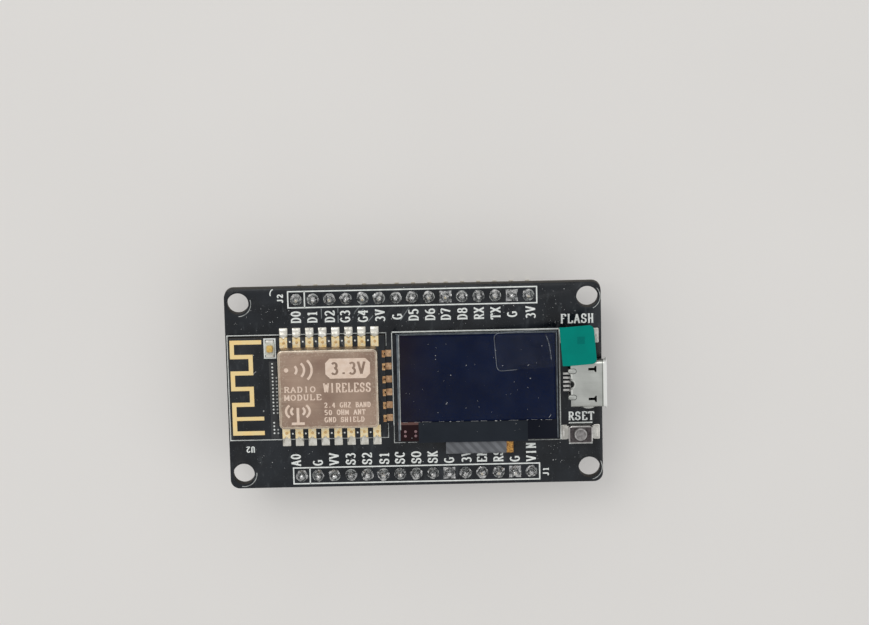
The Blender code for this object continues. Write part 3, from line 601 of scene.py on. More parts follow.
GLYPHS = {
    "0": [arc(0.5, 0.5, 0.32, 0.5, 0, 340, 16) + [(0.82, 0.5)]],
    "1": [post(0.52), [(0.27, 0.8), (0.52, 1.0)], bar(0, 0.25, 0.8)],
    "2": [arc(0.48, 0.71, 0.32, 0.29, 165, -40, 10) + [(0.14, 0.0)], bar(0, 0.14, 0.86),
          post(0.84, 0, 0.16)],
    "3": [arc(0.45, 0.76, 0.3, 0.24, 150, -90), arc(0.45, 0.26, 0.36, 0.26, 90, -150)],
    "4": [post(0.66), [(0.66, 1.0), (0.1, 0.3)], bar(0.3, 0.1, 0.92), *serifs((0.66, 0))],
    "5": [bar(1, 0.22, 0.82), post(0.22, 0.5, 1), arc(0.45, 0.3, 0.36, 0.3, 125, -150)],
    "6": [arc(0.5, 0.3, 0.33, 0.3, 0, 340, 14) + [(0.83, 0.3)], arc(0.68, 0.34, 0.51, 0.66, 180, 80)],
    "7": [bar(1, 0.14, 0.86), [(0.86, 1.0), (0.42, 0.0)], post(0.16, 0.82, 1)],
    "8": [arc(0.5, 0.76, 0.27, 0.24, 0, 340, 14) + [(0.77, 0.76)],
          arc(0.5, 0.27, 0.34, 0.27, 0, 340, 14) + [(0.84, 0.27)]],
    "A": [[(0.12, 0.0), (0.5, 1.0)], [(0.5, 1.0), (0.88, 0.0)], bar(0.32, 0.25, 0.75),
          *serifs((0.12, 0), (0.88, 0))],
    "B": [post(0.24), bar(1, 0.08, 0.55), bar(0.52, 0.24, 0.55), bar(0, 0.08, 0.55),
          arc(0.54, 0.76, 0.28, 0.24, 90, -90), arc(0.54, 0.26, 0.34, 0.26, 90, -90)],
    "C": [arc(0.54, 0.5, 0.4, 0.5, 50, 312, 14), post(0.84, 0.66, 0.98)],
    "D": [post(0.24), bar(1, 0.08, 0.48), bar(0, 0.08, 0.48),
          arc(0.46, 0.5, 0.42, 0.5, 90, -90, 12)],
    "E": [post(0.24), bar(1, 0.08, 0.86), bar(0.52, 0.24, 0.64), bar(0, 0.08, 0.88),
          post(0.86, 0.78, 1), post(0.88, 0, 0.24)],
    "F": [post(0.26), bar(1, 0.1, 0.88), bar(0.52, 0.26, 0.66), post(0.88, 0.76, 1),
          *serifs((0.26, 0))],
    "G": [arc(0.52, 0.5, 0.4, 0.5, 48, 320, 14), post(0.84, 0.06, 0.44), bar(0.44, 0.6, 0.98)],
    "H": [post(0.22), post(0.78), bar(0.5, 0.22, 0.78),
          *serifs((0.22, 0), (0.22, 1), (0.78, 0), (0.78, 1))],
    "I": [post(0.5), *serifs((0.5, 0), (0.5, 1))],
    "J": [post(0.62, 0.26, 1), arc(0.36, 0.26, 0.26, 0.26, 0, -160), *serifs((0.62, 1))],
    "K": [post(0.22), [(0.22, 0.4), (0.82, 1.0)], [(0.42, 0.58), (0.86, 0.0)],
          *serifs((0.22, 0), (0.22, 1), (0.82, 1), (0.86, 0))],
    "L": [post(0.26), bar(0, 0.1, 0.88), post(0.88, 0, 0.26), *serifs((0.26, 1))],
    "M": [post(0.14), post(0.86), [(0.14, 1.0), (0.5, 0.15)], [(0.5, 0.15), (0.86, 1.0)],
          *serifs((0.14, 0), (0.86, 0))],
    "N": [post(0.2), post(0.8), [(0.2, 1.0), (0.8, 0.0)], *serifs((0.2, 0), (0.2, 1), (0.8, 1))],
    "O": [arc(0.5, 0.5, 0.39, 0.5, 0, 340, 16) + [(0.89, 0.5)]],
    "R": [post(0.24), bar(1, 0.08, 0.55), bar(0.5, 0.24, 0.55),
          arc(0.54, 0.75, 0.28, 0.25, 90, -90), [(0.52, 0.5), (0.88, 0.0)], *serifs((0.24, 0), (0.88, 0))],
    "S": [arc(0.5, 0.75, 0.3, 0.25, 25, 270, 10), arc(0.5, 0.25, 0.34, 0.25, 90, -155, 10),
          post(0.8, 0.7, 0.98), post(0.16, 0.02, 0.3)],
    "T": [post(0.5), bar(1, 0.08, 0.92), post(0.1, 0.78, 1), post(0.9, 0.78, 1),
          *serifs((0.5, 0))],
    "U": [post(0.22, 0.28, 1), post(0.8, 0.28, 1), arc(0.51, 0.28, 0.29, 0.28, 180, 360),
          *serifs((0.22, 1), (0.8, 1))],
    "V": [[(0.12, 1.0), (0.5, 0.0)], [(0.5, 0.0), (0.88, 1.0)], *serifs((0.12, 1), (0.88, 1))],
    "W": [[(0.08, 1.0), (0.28, 0.0)], [(0.28, 0.0), (0.5, 0.9)], [(0.5, 0.9), (0.72, 0.0)],
          [(0.72, 0.0), (0.92, 1.0)], *serifs((0.08, 1), (0.92, 1))],
    "X": [[(0.14, 1.0), (0.86, 0.0)], [(0.86, 1.0), (0.14, 0.0)],
          *serifs((0.14, 0), (0.14, 1), (0.86, 0), (0.86, 1))],
    "Z": [bar(1, 0.12, 0.88), [(0.88, 1.0), (0.1, 0.0)], bar(0, 0.1, 0.9)],
    ".": [post(0.5, 0.0, 0.16)],
    " ": [],
}


STROKE_STEP = 0.0004


def lettering(shape, words, x, y, cap, pitch, low, high, turn=0, thick=0.26, thin=0.16):
    """Slab letters from the start of the base line at (x, y), turned by whole degrees counterclockwise."""
    spin = Matrix.Rotation(math.radians(turn), 2)
    wide = pitch * 0.86

    def pen(heading):
        return thin + (thick - thin) * abs(heading.y)

    for index, letter in enumerate(words):
        for order, stroke in enumerate(GLYPHS[letter]):
            def spot(px, py, start=index * pitch):
                return (Vector((x, y)) + spin @ Vector((start + px, py)))[:]
            points = [(px * wide, thin / 2 + py * (cap - thin)) for px, py in stroke]
            strip(shape, points, pen, low, high + order * STROKE_STEP, spot=spot)


# ---------------------------------------------------------------- main board

def row_y(side):
    return HEADERS[side].cy


def make_headers_and_pins():
    for side in PIN_ROWS:
        refined(f"header_base_{side}", HEADER_PLASTIC, 0.06)
        for name in PIN_ROWS[side]:
            refined(name, PIN_TIN, 0.03)


def make_silkscreen():
    """Frames round the pin rows, the radio module and the display, and the lines at the reset button."""
    shape = bmesh.new()
    low = TOP
    high = TOP + INK_HEIGHT
    half = HALF_PITCH
    for side in PIN_ROWS:
        y = row_y(side)
        left = PINS[PIN_ROWS[side][0]].cx - half
        right = PINS[PIN_ROWS[side][-1]].cx + half
        frame_line(shape, left, y - half, right, y + half, 0.2, low, high)
        strip(shape, [(left + 2 * half, y - half), (left + 2 * half, y + half)], 0.2, low, high)
    x0, x1, y0, y1 = GLASS.x0 - 0.66, GLASS.x1 + 0.35, GLASS.y0 - 0.57, GLASS.y1 - 0.02
    strip(shape, [(x0, y1), (x1, y1)], 0.2, low, high)
    strip(shape, [(x1, y1 + 0.1), (x1, y0 - 0.08)], 0.16, low, high)
    strip(shape, [(x0 + 0.05, y1 + 0.1), (x0 + 0.05, RADIO.y0 + 1.5)], 0.12, low, high)
    button = BUTTONS["reset"]
    for y, width in ((button.y0 - 0.3, 0.18), (button.y1 - 0.03, 0.2)):
        strip(shape, [(button.x0 + 0.05, y), (button.x1, y)], width, low, high)
    piece("silkscreen_frames", shape, INK)
    shape = bmesh.new()
    x0, x1, y0, y1 = RADIO.x0 - 0.2, RADIO.x1 + 0.22, RADIO.y0 - 0.35, RADIO.y1 + 0.25
    corner = end_pad_y(END_PADS - 1) + 1.1
    strip(shape, [(x1, corner), (x1, y1), (CAN.x0 - 0.2, y1)], 0.13, low, high)
    strip(shape, [(CAN.x0 + 0.1, y0), (x1, y0), (x1, end_pad_y(0) - 1.0)], 0.13, low, high)
    strip(shape, [(CAN.x0 - 0.2, y1), (x0, y1), (x0, y0), (CAN.x0 + 0.1, y0)], 0.14, low, high, material=1)
    x0, x1, y = GLASS.x0 - 0.6, GLASS.x1 + 0.35, GLASS.y0 - 0.65
    strip(shape, [(x1, y), (x1 - 5.2, y)], 0.1, low, high)
    strip(shape, [(x0 + 3.5, y), (x0 + 2.1, y)], 0.1, low, high)
    strip(shape, [(x0 + 1.7, y), (x0, y), (x0, RADIO.y0 + 1.4)], 0.11, low, high)
    piece("module_frame", shape, [FAINT_INK_AND_PAINTED_LIGHT, INK])


def pin_label(name):
    signal = name.rsplit("_", 1)[1]
    return "G" if signal == "gnd" else signal.upper()


# How far each label stands off its pin's own place along the row.
LABEL_SHIFTS = {"front": {0: -0.85, 5: 0.12, 10: 0.15},
                "back": {0: -0.12, 1: -0.15, 3: -0.18, 5: 0.1, 6: 0.18, 7: 0.14, 8: 0.14, 14: 0.3}}


def make_labels():
    """What each pin does, beside it, and the button and connector names."""
    cap, pitch = 1.55, 1.03
    low, high = TOP, TOP + INK_HEIGHT
    starts = {"back": row_y("back") - 3.72, "front": row_y("front") + 1.6}
    for side, names in PIN_ROWS.items():
        shape = bmesh.new()
        for index, name in enumerate(names):
            words = pin_label(name)
            start = starts[side] + (0.3 if words == "G" and side == "back" else 0)
            shift = LABEL_SHIFTS[side].get(index, 0.0)
            lettering(shape, words, PINS[name].cx + cap / 2 + shift, start, cap, pitch, low, high, turn=90)
        piece(f"pin_labels_{side}", shape, INK, crease=30)
    shape = bmesh.new()
    flash, reset = BUTTONS["flash"], BUTTONS["reset"]
    lettering(shape, "FLASH", flash.cx - 2.85, flash.y1 + 0.45, 1.5, 1.05, low, high)
    lettering(shape, "RSET", reset.cx - 1.85, reset.y1 + 0.35, 1.4, 1.03, low, high)
    back, front = PINS[PIN_ROWS["back"][0]], PINS[PIN_ROWS["front"][-1]]
    lettering(shape, "J2", back.cx - 1.98, row_y("back") - 0.45, 0.95, 0.72, low, high, 90, 0.22, 0.16)
    lettering(shape, "J1", front.cx + 2.7, row_y("front") - 0.75, 0.95, 0.72, low, high, 90, 0.2, 0.14)
    lettering(shape, "U2", RADIO.x0 + 3.5, RADIO.y0 - 1.35, 1.0, 0.72, low, high, 180, 0.2, 0.14)
    piece("part_labels", shape, INK, crease=30)


JOINT_PROFILE = ((0.95, 0.0), (0.93, 0.06), (0.8, 0.17), (0.66, 0.36), (0.56, 0.6), (0.47, 0.84),
                 (0.36, 1.05), (0.22, 1.2), (0.06, 1.24))


def make_solder_joints():
    """A pad and a hand-soldered cone round each pin's upper end, each one a little different."""
    for side, names in PIN_ROWS.items():
        pads = bmesh.new()
        for index, name in enumerate(names):
            pin = PINS[name]
            if index in SQUARE_PADS:
                outline = []
                for quarter in range(4):
                    for step in range(6):
                        angle = math.radians(90 * quarter + 45 + 15 * step)
                        reach = 1.32 - 0.46 * math.sin(math.pi * step / 6) ** 0.7
                        outline.append((pin.cx + reach * math.cos(angle), pin.cy + reach * math.sin(angle)))
                prism(pads, outline, TOP, TOP + PAD_HEIGHT + 0.03, 1)
            else:
                prism(pads, circle(pin.cx, pin.cy, PIN_PAD_RADIUS), TOP, TOP + PAD_HEIGHT)
            shape = bmesh.new()
            dice = random.Random(index * 7 + len(side))
            tall = 0.9 + 0.1 * dice.random()
            wide = 0.93 + 0.05 * dice.random()
            profile = [(radius * wide, TOP + PAD_HEIGHT + height * tall) for radius, height in JOINT_PROFILE]
            x, y = (middle + 0.06 * (dice.random() - 0.5) for middle in (pin.cx, pin.cy))
            seed = index + (40 if side == "back" else 0)
            turned(shape, x, y, profile, 28, 0.2 + 0.14 * dice.random(), seed)
            piece(f"solder_joint_{side}_{index + 1:02d}", shape, SOLDER, crease=60)
        piece(f"pin_pads_{side}", pads, [FAINT_INK_AND_PAINTED_LIGHT, SOLDER])


def make_board_surface():
    """Copper tracks and plugged vias that show through the mask."""
    shape, pale, ink = (bmesh.new() for _ in range(3))
    low, high = TOP, TOP + TRACK_HEIGHT
    tracks = []
    for index in range(1, 7):
        pin = PINS[PIN_ROWS["back"][index]]
        pad_x = radio_pad_x(index + 1)
        turn_y = RADIO.y1 + 2.0 + 0.28 * index
        tracks.append([(pin.cx, pin.cy - 1.2), (pin.cx, turn_y + abs(pad_x - pin.cx)), (pad_x, turn_y),
                       (pad_x, RADIO.y1 + 1.3)])
    for index in range(1, 8):
        pin = PINS[PIN_ROWS["front"][index]]
        pad_x = radio_pad_x(min(index, 7))
        turn_y = RADIO.y0 - 1.7 - 0.22 * index
        tracks.append([(pin.cx - 0.9, pin.cy + 1.1), (pin.cx - 0.9, turn_y - abs(pad_x - pin.cx + 0.9) * 0.6),
                       (pad_x, turn_y + 0.3), (pad_x, RADIO.y0 - 1.2)])
    for points in tracks:
        strip(shape, points, 0.22, low, high)
    back = [PINS[name] for name in PIN_ROWS["back"]]
    between = [(first.cx + second.cx) / 2 for first, second in zip(back, back[1:])]
    shown = [[(between[1], 12.5), (between[1], 10.2)], [(between[2], 12.5), (between[2], 10.2)],
             [(back[4].cx, 13.3), (between[3] + 0.1, 11.9), (between[3] - 0.3, 10.9)],
             [(back[4].cx + 0.1, 12.3), (between[3] + 0.1, 10.9)],
             [(back[5].cx - 0.2, 12.1), (between[4] - 0.5, 10.3)],
             [(back[7].cx - 0.5, 12.4), (between[6] - 0.6, 10.4)]]
    for points in shown:
        strip(pale, points, 0.13, low, high)
    strip(ink, arc(-21.2, 14.9, 0.55, 0.75, 100, 200, 8), 0.16, TOP, TOP + INK_HEIGHT)
    piece("stray_ink_mark", ink, INK)
    look = surface("mask_over_track", (128, 134, 136), (84, 90, 93), 0.3, patch=0.8, grain=0.1,
                   Specular_IOR_Level=0.42)
    piece("board_tracks_shown", pale, look)
    dice = random.Random(5)
    for _ in range(46):
        x = dice.uniform(BOARD.x0 + 1.2, BOARD.x1 - 5)
        y = dice.choice((dice.uniform(9.4, 12.6), dice.uniform(-12.6, -9.6)))
        if all(math.hypot(x - hx, y - hy) > 2.6 for hx, hy in mounting_holes()):
            turned(shape, x, y, [(0.34, low), (0.33, high), (0.24, high + 0.008), (0.12, low + 0.006),
                                 (0.02, low + 0.004)], 16)
    piece("board_tracks_top", shape, BOARD_MASK)


def mounting_holes():
    """Centres of the four holes, from the board's outline."""
    inset_x, inset_y = 2.1, 2.3
    return [(x, y) for x in (BOARD.x0 + inset_x, -BOARD.x0 - inset_x)
            for y in (BOARD.y0 + inset_y, BOARD.y1 - inset_y)]


def make_hole_highlights():
    """Thin pale crescents on the raised lands round the mounting holes, as painted highlights."""
    shape = bmesh.new()
    for number, (x, y) in enumerate(mounting_holes()):
        start = -100 + 12 * number
        # painted highlight on the lower right of each land
        points = arc(x, y, 2.0, 2.0, start, start + 105, 22)
        strip(shape, points, 0.1, TOP + LAND_HEIGHT - 0.01, TOP + LAND_HEIGHT + 0.006)
    piece("mounting_hole_highlights", shape, FAINT_INK_AND_PAINTED_LIGHT)


def make_dust():
    """Flakes and short hairs scattered over the top, kept off the moving buttons."""
    shape = bmesh.new()
    dice = random.Random(21)
    # Left, front, right and back limits, the level, and how many flakes.
    areas = ((BOARD.x0 + 1, 9.2, 27, 12.8, TOP, 60), (BOARD.x0 + 1, -12.9, 27, -9.4, TOP, 54),
             (19.5, 9.5, 24.5, 15.0, TOP, 22), (-25.5, 8.6, -20, 13.5, TOP, 16),
             (20.5, -13.5, 24.5, -9.4, TOP, 12),
             (RADIO.x0 + 0.5, RADIO.y0 + 0.6, RADIO.x0 + 6.5, RADIO.y1 - 0.6, RADIO.z1, 7),
             (POLARIZER.x0 + 1, POLARIZER.y0 + 0.5, POLARIZER.x1 - 1, POLARIZER.y1 - 0.5, FILM.z1, 34),
             (GLASS.x0 + 1, GLASS.y0 + 0.5, GLASS.x1 - 1, POLARIZER.y0 - 0.3, GLASS.z1 + 0.09, 7),
             (BOARD.x0 + 6, 15.3, 25, 15.6, TOP, 8))
    for x0, y0, x1, y1, level, count in areas:
        for _ in range(count):
            x, y = dice.uniform(x0, x1), dice.uniform(y0, y1)
            size = 0.03 + 0.045 * dice.random() ** 3
            corners = [(x + size * dice.uniform(0.6, 1.2) * cos, y + size * dice.uniform(0.6, 1.2) * sin)
                       for cos, sin in circle(0, 0, 1, 6)]
            prism(shape, corners, level + 0.002, level + 0.002 + size * 0.4)
    hairs = ((-24.0, 2.3, 0.7, 110, 160), (5.2, -2.6, 0.4, 110, 170), (20.2, -4.3, 0.7, 300, 350),
             (17.8, 3.1, 0.4, 110, 150))
    for x, y, radius, start, end in hairs:
        level = (FILM.z1 if POLARIZER.x0 < x < POLARIZER.x1 and y > POLARIZER.y0 else RADIO.z1) + 0.002
        if y < GLASS.y0:
            level = TOP + INK_HEIGHT
        strip(shape, arc(x, y, radius, radius, start, end, 8), 0.04, level, level + 0.02)
    piece("dust_flakes", shape, DUST)


# ---------------------------------------------------------------- radio module

SIDE_PADS = 8
END_PADS = 6


def radio_pad_x(index):
    return RADIO.cx - 3.52 + 2.0 * index


def end_pad_y(index):
    return RADIO.cy + 2.04 * (index - (END_PADS - 1) / 2)


def notched_pad(outer, inner, along, half, notch, vertical):
    """A pad from a module's edge (outer) inwards, with a half-round bite at the edge."""
    way = 1 if inner > outer else -1
    bite = arc(0, 0, notch, notch, 0, 180, 8)
    points = [(half, 0.0), (half, abs(inner - outer)), (-half, abs(inner - outer)), (-half, 0.0)]
    points += [(-x, y) for x, y in bite]
    if vertical:
        return [(along + x, outer + way * y) for x, y in points]
    return [(outer + way * y, along + x) for x, y in points]


def make_module_pads():
    """Gold pads with half-round notches on three sides, their plated barrels and the board's own pads."""
    pads, barrels, ends, copper, wells = (bmesh.new() for _ in range(5))
    low, high = RADIO.z1, RADIO.z1 + PLATING_HEIGHT
    for index in range(SIDE_PADS):
        x = radio_pad_x(index)
        for outer, inner in ((RADIO.y1, RADIO.y1 - 1.66), (RADIO.y0, RADIO.y0 + 1.9)):
            prism(pads, notched_pad(outer, inner, x, 0.59, 0.32, True), low, high)
            way = 1 if inner > outer else -1
            barrel = [(x + px, outer + way * py) for px, py in arc(0, 0, 0.3, 0.3, 0, 180, 10)]
            strip(barrels, barrel, 0.05, RADIO.z0 + 0.02, high)
            dimple = [(0.24, high), (0.2, high + 0.01), (0.03, high + 0.002)]
            turned(wells, x + 0.05, outer + way * 0.85, dimple, 14)
    for index in range(END_PADS):
        y = end_pad_y(index)
        prism(ends, notched_pad(RADIO.x1, RADIO.x1 - 0.46, y, 0.54, 0.2, False), low, high)
        slab(copper, RADIO.x1 + 0.5, y - 0.1, 0.98, 1.06, TOP, TOP + PAD_HEIGHT, 0.08, 0.02)
        barrel = [(RADIO.x1 - py, y + px) for px, py in arc(0, 0, 0.3, 0.3, 0, 180, 10)]
        strip(copper, barrel, 0.05, TOP + 0.02, high)
    piece("module_side_pads", pads, PAD_GOLD)
    piece("module_pad_barrels", barrels, GOLD)
    piece("module_pad_vias", wells, PAD_DIMPLE)
    piece("module_end_pads", ends, WORN_GOLD)
    piece("board_end_pads", copper, COPPER)


def make_module_solder():
    """Tinned main-board pads beyond the module's edges, with solder that climbs its plated notches."""
    shape = bmesh.new()
    sections = 9
    for index in range(SIDE_PADS):
        x = radio_pad_x(index)
        for edge, way in ((RADIO.y1, 1), (RADIO.y0, -1)):
            profile = [(-0.24, 0.0), (-0.24, 0.66), (-0.1, 0.68), (0.06, 0.5), (0.2, 0.3), (0.45, 0.16),
                       (0.9, 0.12), (1.28, 0.1), (1.38, 0.0)]
            rings = []
            for section in range(sections):
                t = 2 * section / (sections - 1) - 1
                drop = 1 - 0.35 * abs(t) ** 5
                ring = []
                for reach, height in profile:
                    inside = reach < 0
                    half = 0.26 if inside else 0.6
                    ripple = 1 + 0.35 * noise.noise(Vector((x + t, reach * 2, index + way * 3)))
                    ring.append((x + t * half, edge + way * reach * (0.9 if way > 0 else 1),
                                 TOP + PAD_HEIGHT + height * drop * (ripple if height else 1)))
                rings.append(ring if way > 0 else ring[::-1])
            loft(shape, rings)
            depth = 1.26 if way > 0 else 1.4
            slab(shape, x, edge + way * (depth / 2 + 0.02), 1.26, depth, TOP, TOP + PAD_HEIGHT, 0.08, 0.02)
    piece("module_solder_fillets", shape, PAD_TIN, crease=50)


def make_module_dots():
    """Stitching vias down the can's left side, the column next to the can duller as painted shade, and one
    between each pair of pads.
    """
    shape, bright = bmesh.new(), bmesh.new()
    level = RADIO.z1
    for index in range(SIDE_PADS - 1):
        x = radio_pad_x(index) + 1.0
        for y in (RADIO.y1 - 0.7, RADIO.y0 + 0.75):
            turned(bright, x, y, [(0.14, level), (0.13, level + 0.02), (0.04, level + 0.014)], 12)
    pitch, before_gap, gap = 0.557, 15, 0.98
    for row in range(19):
        y = CAN.y1 - 2.5 - pitch * row - (gap if row >= before_gap else 0.0)
        dot = [(0.14, level + 0.012), (0.13, level + 0.024), (0.05, level + 0.016)]
        turned(bright, CAN.x0 - 0.95, y, dot, 12)
        # painted shade: the column next to the can takes the duller grey
        if 4 <= row < before_gap or row > 16:
            turned(shape, CAN.x0 - 0.36, y, dot, 12)
    turned(shape, RADIO.x0 + 5.1, -3.3, [(0.12, level), (0.1, level + 0.02), (0.03, level + 0.03)], 12)
    piece("module_via_dots", bright, INK)
    piece("module_shaded_dots", shape, FAINT_INK_AND_PAINTED_LIGHT)
    band = bmesh.new()
    slab(band, CAN.x0 - 0.86, -1.6, 1.16, 12.2, level, level + 0.012, 0.1, 0.01)
    look = surface("mask_over_copper", (56, 58, 60), (44, 46, 48), 0.4, patch=0.9, grain=0.12)
    piece("module_ground_band", band, look)


def make_antenna():
    """Printed trace that folds back and forth across the module's end, with a ground stub."""
    shape = bmesh.new()
    inner, outer, mid = RADIO.x0 + 5.1, RADIO.x0 + 0.55, RADIO.x0 + 3.38
    levels = [RADIO.cy + offset for offset in (7.35, 5.08, 2.5, 0.03, -2.48, -7.03)]
    turns = (inner, outer, mid, outer, mid, outer + 0.05, inner + 0.05)
    points = [(turns[k + side], level) for k, level in enumerate(levels) for side in (0, 1)]
    low, high = RADIO.z1, RADIO.z1 + PLATING_HEIGHT
    strip(shape, points, 0.66, low, high)
    stub_y = levels[-1] + 2.3
    strip(shape, [(outer, stub_y), (inner + 0.05, stub_y)], 0.6, low, high + 0.002)
    piece("antenna_trace", shape, GOLD)


def make_led():
    """Chip light: white body, solder at both ends, a yellow lens, and its printed frame."""
    parts = bmesh.new()
    base = RADIO.z1
    slab(parts, LED.cx, LED.cy, LED.width - 0.1, LED.depth - 0.8, base, base + 0.3, 0.08, 0.05)
    for way in (-1, 1):
        slab(parts, LED.cx, LED.cy + way * 1.03, 1.25, 0.6, base, base + 0.26, 0.12, 0.1, 1)
    slab(parts, LED.cx, LED.cy + 0.05, 0.95, 1.05, base + 0.1, LED.z1 - 0.02, 0.22, 0.16, 2)
    piece("radio_led_package", parts, [LED_WHITE, PAD_TIN, LED_YELLOW], replaces=["radio_led"])
    line = bmesh.new()
    frame_line(line, LED.cx - 0.83, LED.cy - 1.46, LED.cx + 0.82, LED.cy + 1.52, 0.21, base,
               base + INK_HEIGHT)
    piece("led_silkscreen", line, INK)


CAN_FACE = CAN.z1 - 0.03


def make_can():
    """Shield lid: soft upper edges, and a shallow pressed groove just inside them."""
    shape = bmesh.new()
    groove = CAN_FACE - 0.04
    levels = soft_edge(CAN.z0, CAN_FACE, 0.2, 5)
    levels += [(0.24, CAN_FACE), (0.27, groove), (0.33, groove), (0.37, CAN_FACE), (0.85, CAN_FACE)]
    stacked(shape, (CAN.cx, CAN.cy, CAN.width, CAN.depth), levels, 0.75, 0.12, 6)
    piece("shield_can_lid", shape, CAN_SHEET, crease=25, replaces=["radio_shield_can"])


def make_can_marks():
    """Plain etched words and signs that say only what kind of module this is."""
    shape = bmesh.new()
    low, high = CAN_FACE - 0.01, CAN_FACE + 0.014

    def words(text, left, bottom, cap, pitch, thick=0.2, thin=0.13):
        lettering(shape, text, CAN.x0 + left, CAN.y0 + bottom, cap, pitch, low, high, 0, thick, thin)

    words("RADIO", 0.85, 5.8, 0.95, 1.0)
    words("MODULE", 0.85, 4.55, 0.95, 0.98)
    words("WIRELESS", 6.95, 5.7, 1.5, 0.92, 0.24, 0.15)
    words("2.4 GHZ BAND", 6.95, 3.3, 0.85, 0.6, 0.18, 0.12)
    words("50 OHM ANT", 6.95, 2.15, 0.85, 0.64, 0.18, 0.12)
    words("GND SHIELD", 6.95, 1.0, 0.85, 0.62, 0.18, 0.12)
    source_x, source_y = CAN.x0 + 1.3, CAN.y0 + 9.35
    prism(shape, circle(source_x, source_y, 0.34), low, high)
    for radius in (1.1, 1.9, 2.7):
        strip(shape, arc(source_x, source_y, radius * 1.45, radius, -34, 34, 12), 0.36, low, high)
    mast_x, mast_y = CAN.x0 + 2.9, CAN.y0 + 0.9
    strip(shape, [(mast_x, mast_y), (mast_x, mast_y + 2.5)], 0.42, low, high)
    strip(shape, [(mast_x - 1.0, mast_y), (mast_x + 1.0, mast_y)], 0.4, low, high + 0.001)
    for radius in (0.8, 1.4):
        for start in (-45, 135):
            wave = arc(mast_x, mast_y + 1.95, radius * 1.3, radius * 0.95, start, start + 90, 12)
            strip(shape, wave, 0.36, low, high)
    left, bottom, right, top = CAN.x0 + 7.3, CAN.y0 + 7.9, CAN.x1 - 1.15, CAN.y0 + 11.05
    clip = 0.7
    plate = [(right, bottom + clip), (right, top - clip), (right - clip, top), (left + clip, top),
             (left, top - clip), (left, bottom + clip), (left + clip, bottom), (right - clip, bottom)]
    prism(shape, plate, low, high)
    piece("can_marks", shape, CAN_MARK, crease=30)
    dark = bmesh.new()
    lettering(dark, "3.3V", left + 0.85, bottom + 0.55, 2.05, 1.36, high - 0.005, high + 0.005, 0, 0.38, 0.26)
    piece("can_plate_letters", dark, CAN_SHEET, crease=30)


def make_module():
    refined("radio_board", BOARD_MASK, 0.03)
    make_antenna()
    make_module_pads()
    make_module_solder()
    make_module_dots()
    make_led()
    make_can()
    make_can_marks()


# ---------------------------------------------------------------- display

def make_display():
    refined("oled_front_glass", GLASS_LOOK, 0.06)
    refined("oled_rear_glass", GLASS_LOOK, 0.05)
    shape = bmesh.new()
    slab(shape, POLARIZER.cx + 0.12, POLARIZER.cy, POLARIZER.width - 0.24, POLARIZER.depth, POLARIZER.z0,
         POLARIZER.z1, 0.15, 0.03)
    piece("polarizer_sheet", shape, POLARIZER_LOOK, replaces=["oled_polarizer"])
    make_glass_edges()
    make_ledge_tape()
    make_ledge_marks()
    make_film()


def make_glass_edges():
    """Ground margins of the glass that show round the polarizer, pale as a painted highlight along the glass
    edges, and dust caught along its lower edge.
    """
    shape = bmesh.new()
    level = GLASS.z1
    high = level + 0.012
    x0, x1, y0, y1 = GLASS.x0, GLASS.x1, GLASS.y0, GLASS.y1
    # painted highlight: pale strips along the glass margins, partly the ground glass edge itself
    strip(shape, [(x0 + 0.24, y0 + 0.1), (x0 + 0.3, y1 - 0.12)], 0.3, level, high)
    strip(shape, [(x0 + 0.44, y0 + 1.8), (x0 + 0.5, y1 - 0.12)], 0.11, level, high + 0.01, material=1)
    strip(shape, [(x0 + 0.3, y1 - 0.1), (x1 - 0.15, y1 - 0.1)], 0.1, level, high)
    strip(shape, [(x1 - 0.12, y0 + 0.1), (x1 - 0.12, y1 - 0.12)], 0.12, level, high)
    piece("glass_ground_edge_highlights", shape, [GROUND_EDGE_AND_HIGHLIGHT, FAINT_INK_AND_PAINTED_LIGHT])
    dust = bmesh.new()
    dice = random.Random(9)
    x = POLARIZER.x0 + 0.5
    while x < POLARIZER.x1 - 1:
        run = dice.uniform(0.1, 1.3)
        size = 0.025 + 0.07 * (run < 0.35)
        y = POLARIZER.y0 - 0.06 + dice.uniform(-0.03, 0.03)
        strip(dust, [(x, y), (x + run, y + dice.uniform(-0.03, 0.03))], size, level, level + 0.09)
        x += run + dice.uniform(0.05, 1.2) ** 2
    piece("polarizer_edge_dust", dust, DUST)


def make_ledge_tape():
    """Black tape over the driver's ledge: it dips over the glass edge and its rim is a little wavy."""
    shape = bmesh.new()
    left, right = GLASS.x0 + 3.2, GLASS.x0 + 20.0
    inner, outer = POLARIZER.y0 - 0.12, GLASS.y0 - 0.32
    columns, rows = 34, 10

    def point(column, row):
        x = left + (right - left) * column / columns
        y = inner + (outer - inner) * row / rows + 0.1 * noise.noise(Vector((x * 0.5, 0, 7))) * row / rows
        past = max(0.0, GLASS.y0 + 0.1 - y)
        return (x, y, GLASS.z1 + 0.035 + 0.012 * noise.noise(Vector((x * 0.4, y * 0.8, 2))) - past * 0.5)

    grid = [[point(column, row) for column in range(columns + 1)] for row in range(rows + 1)]
    sheet(shape, grid, 0.05)
    piece("ledge_tape", shape, TAPE, crease=40)


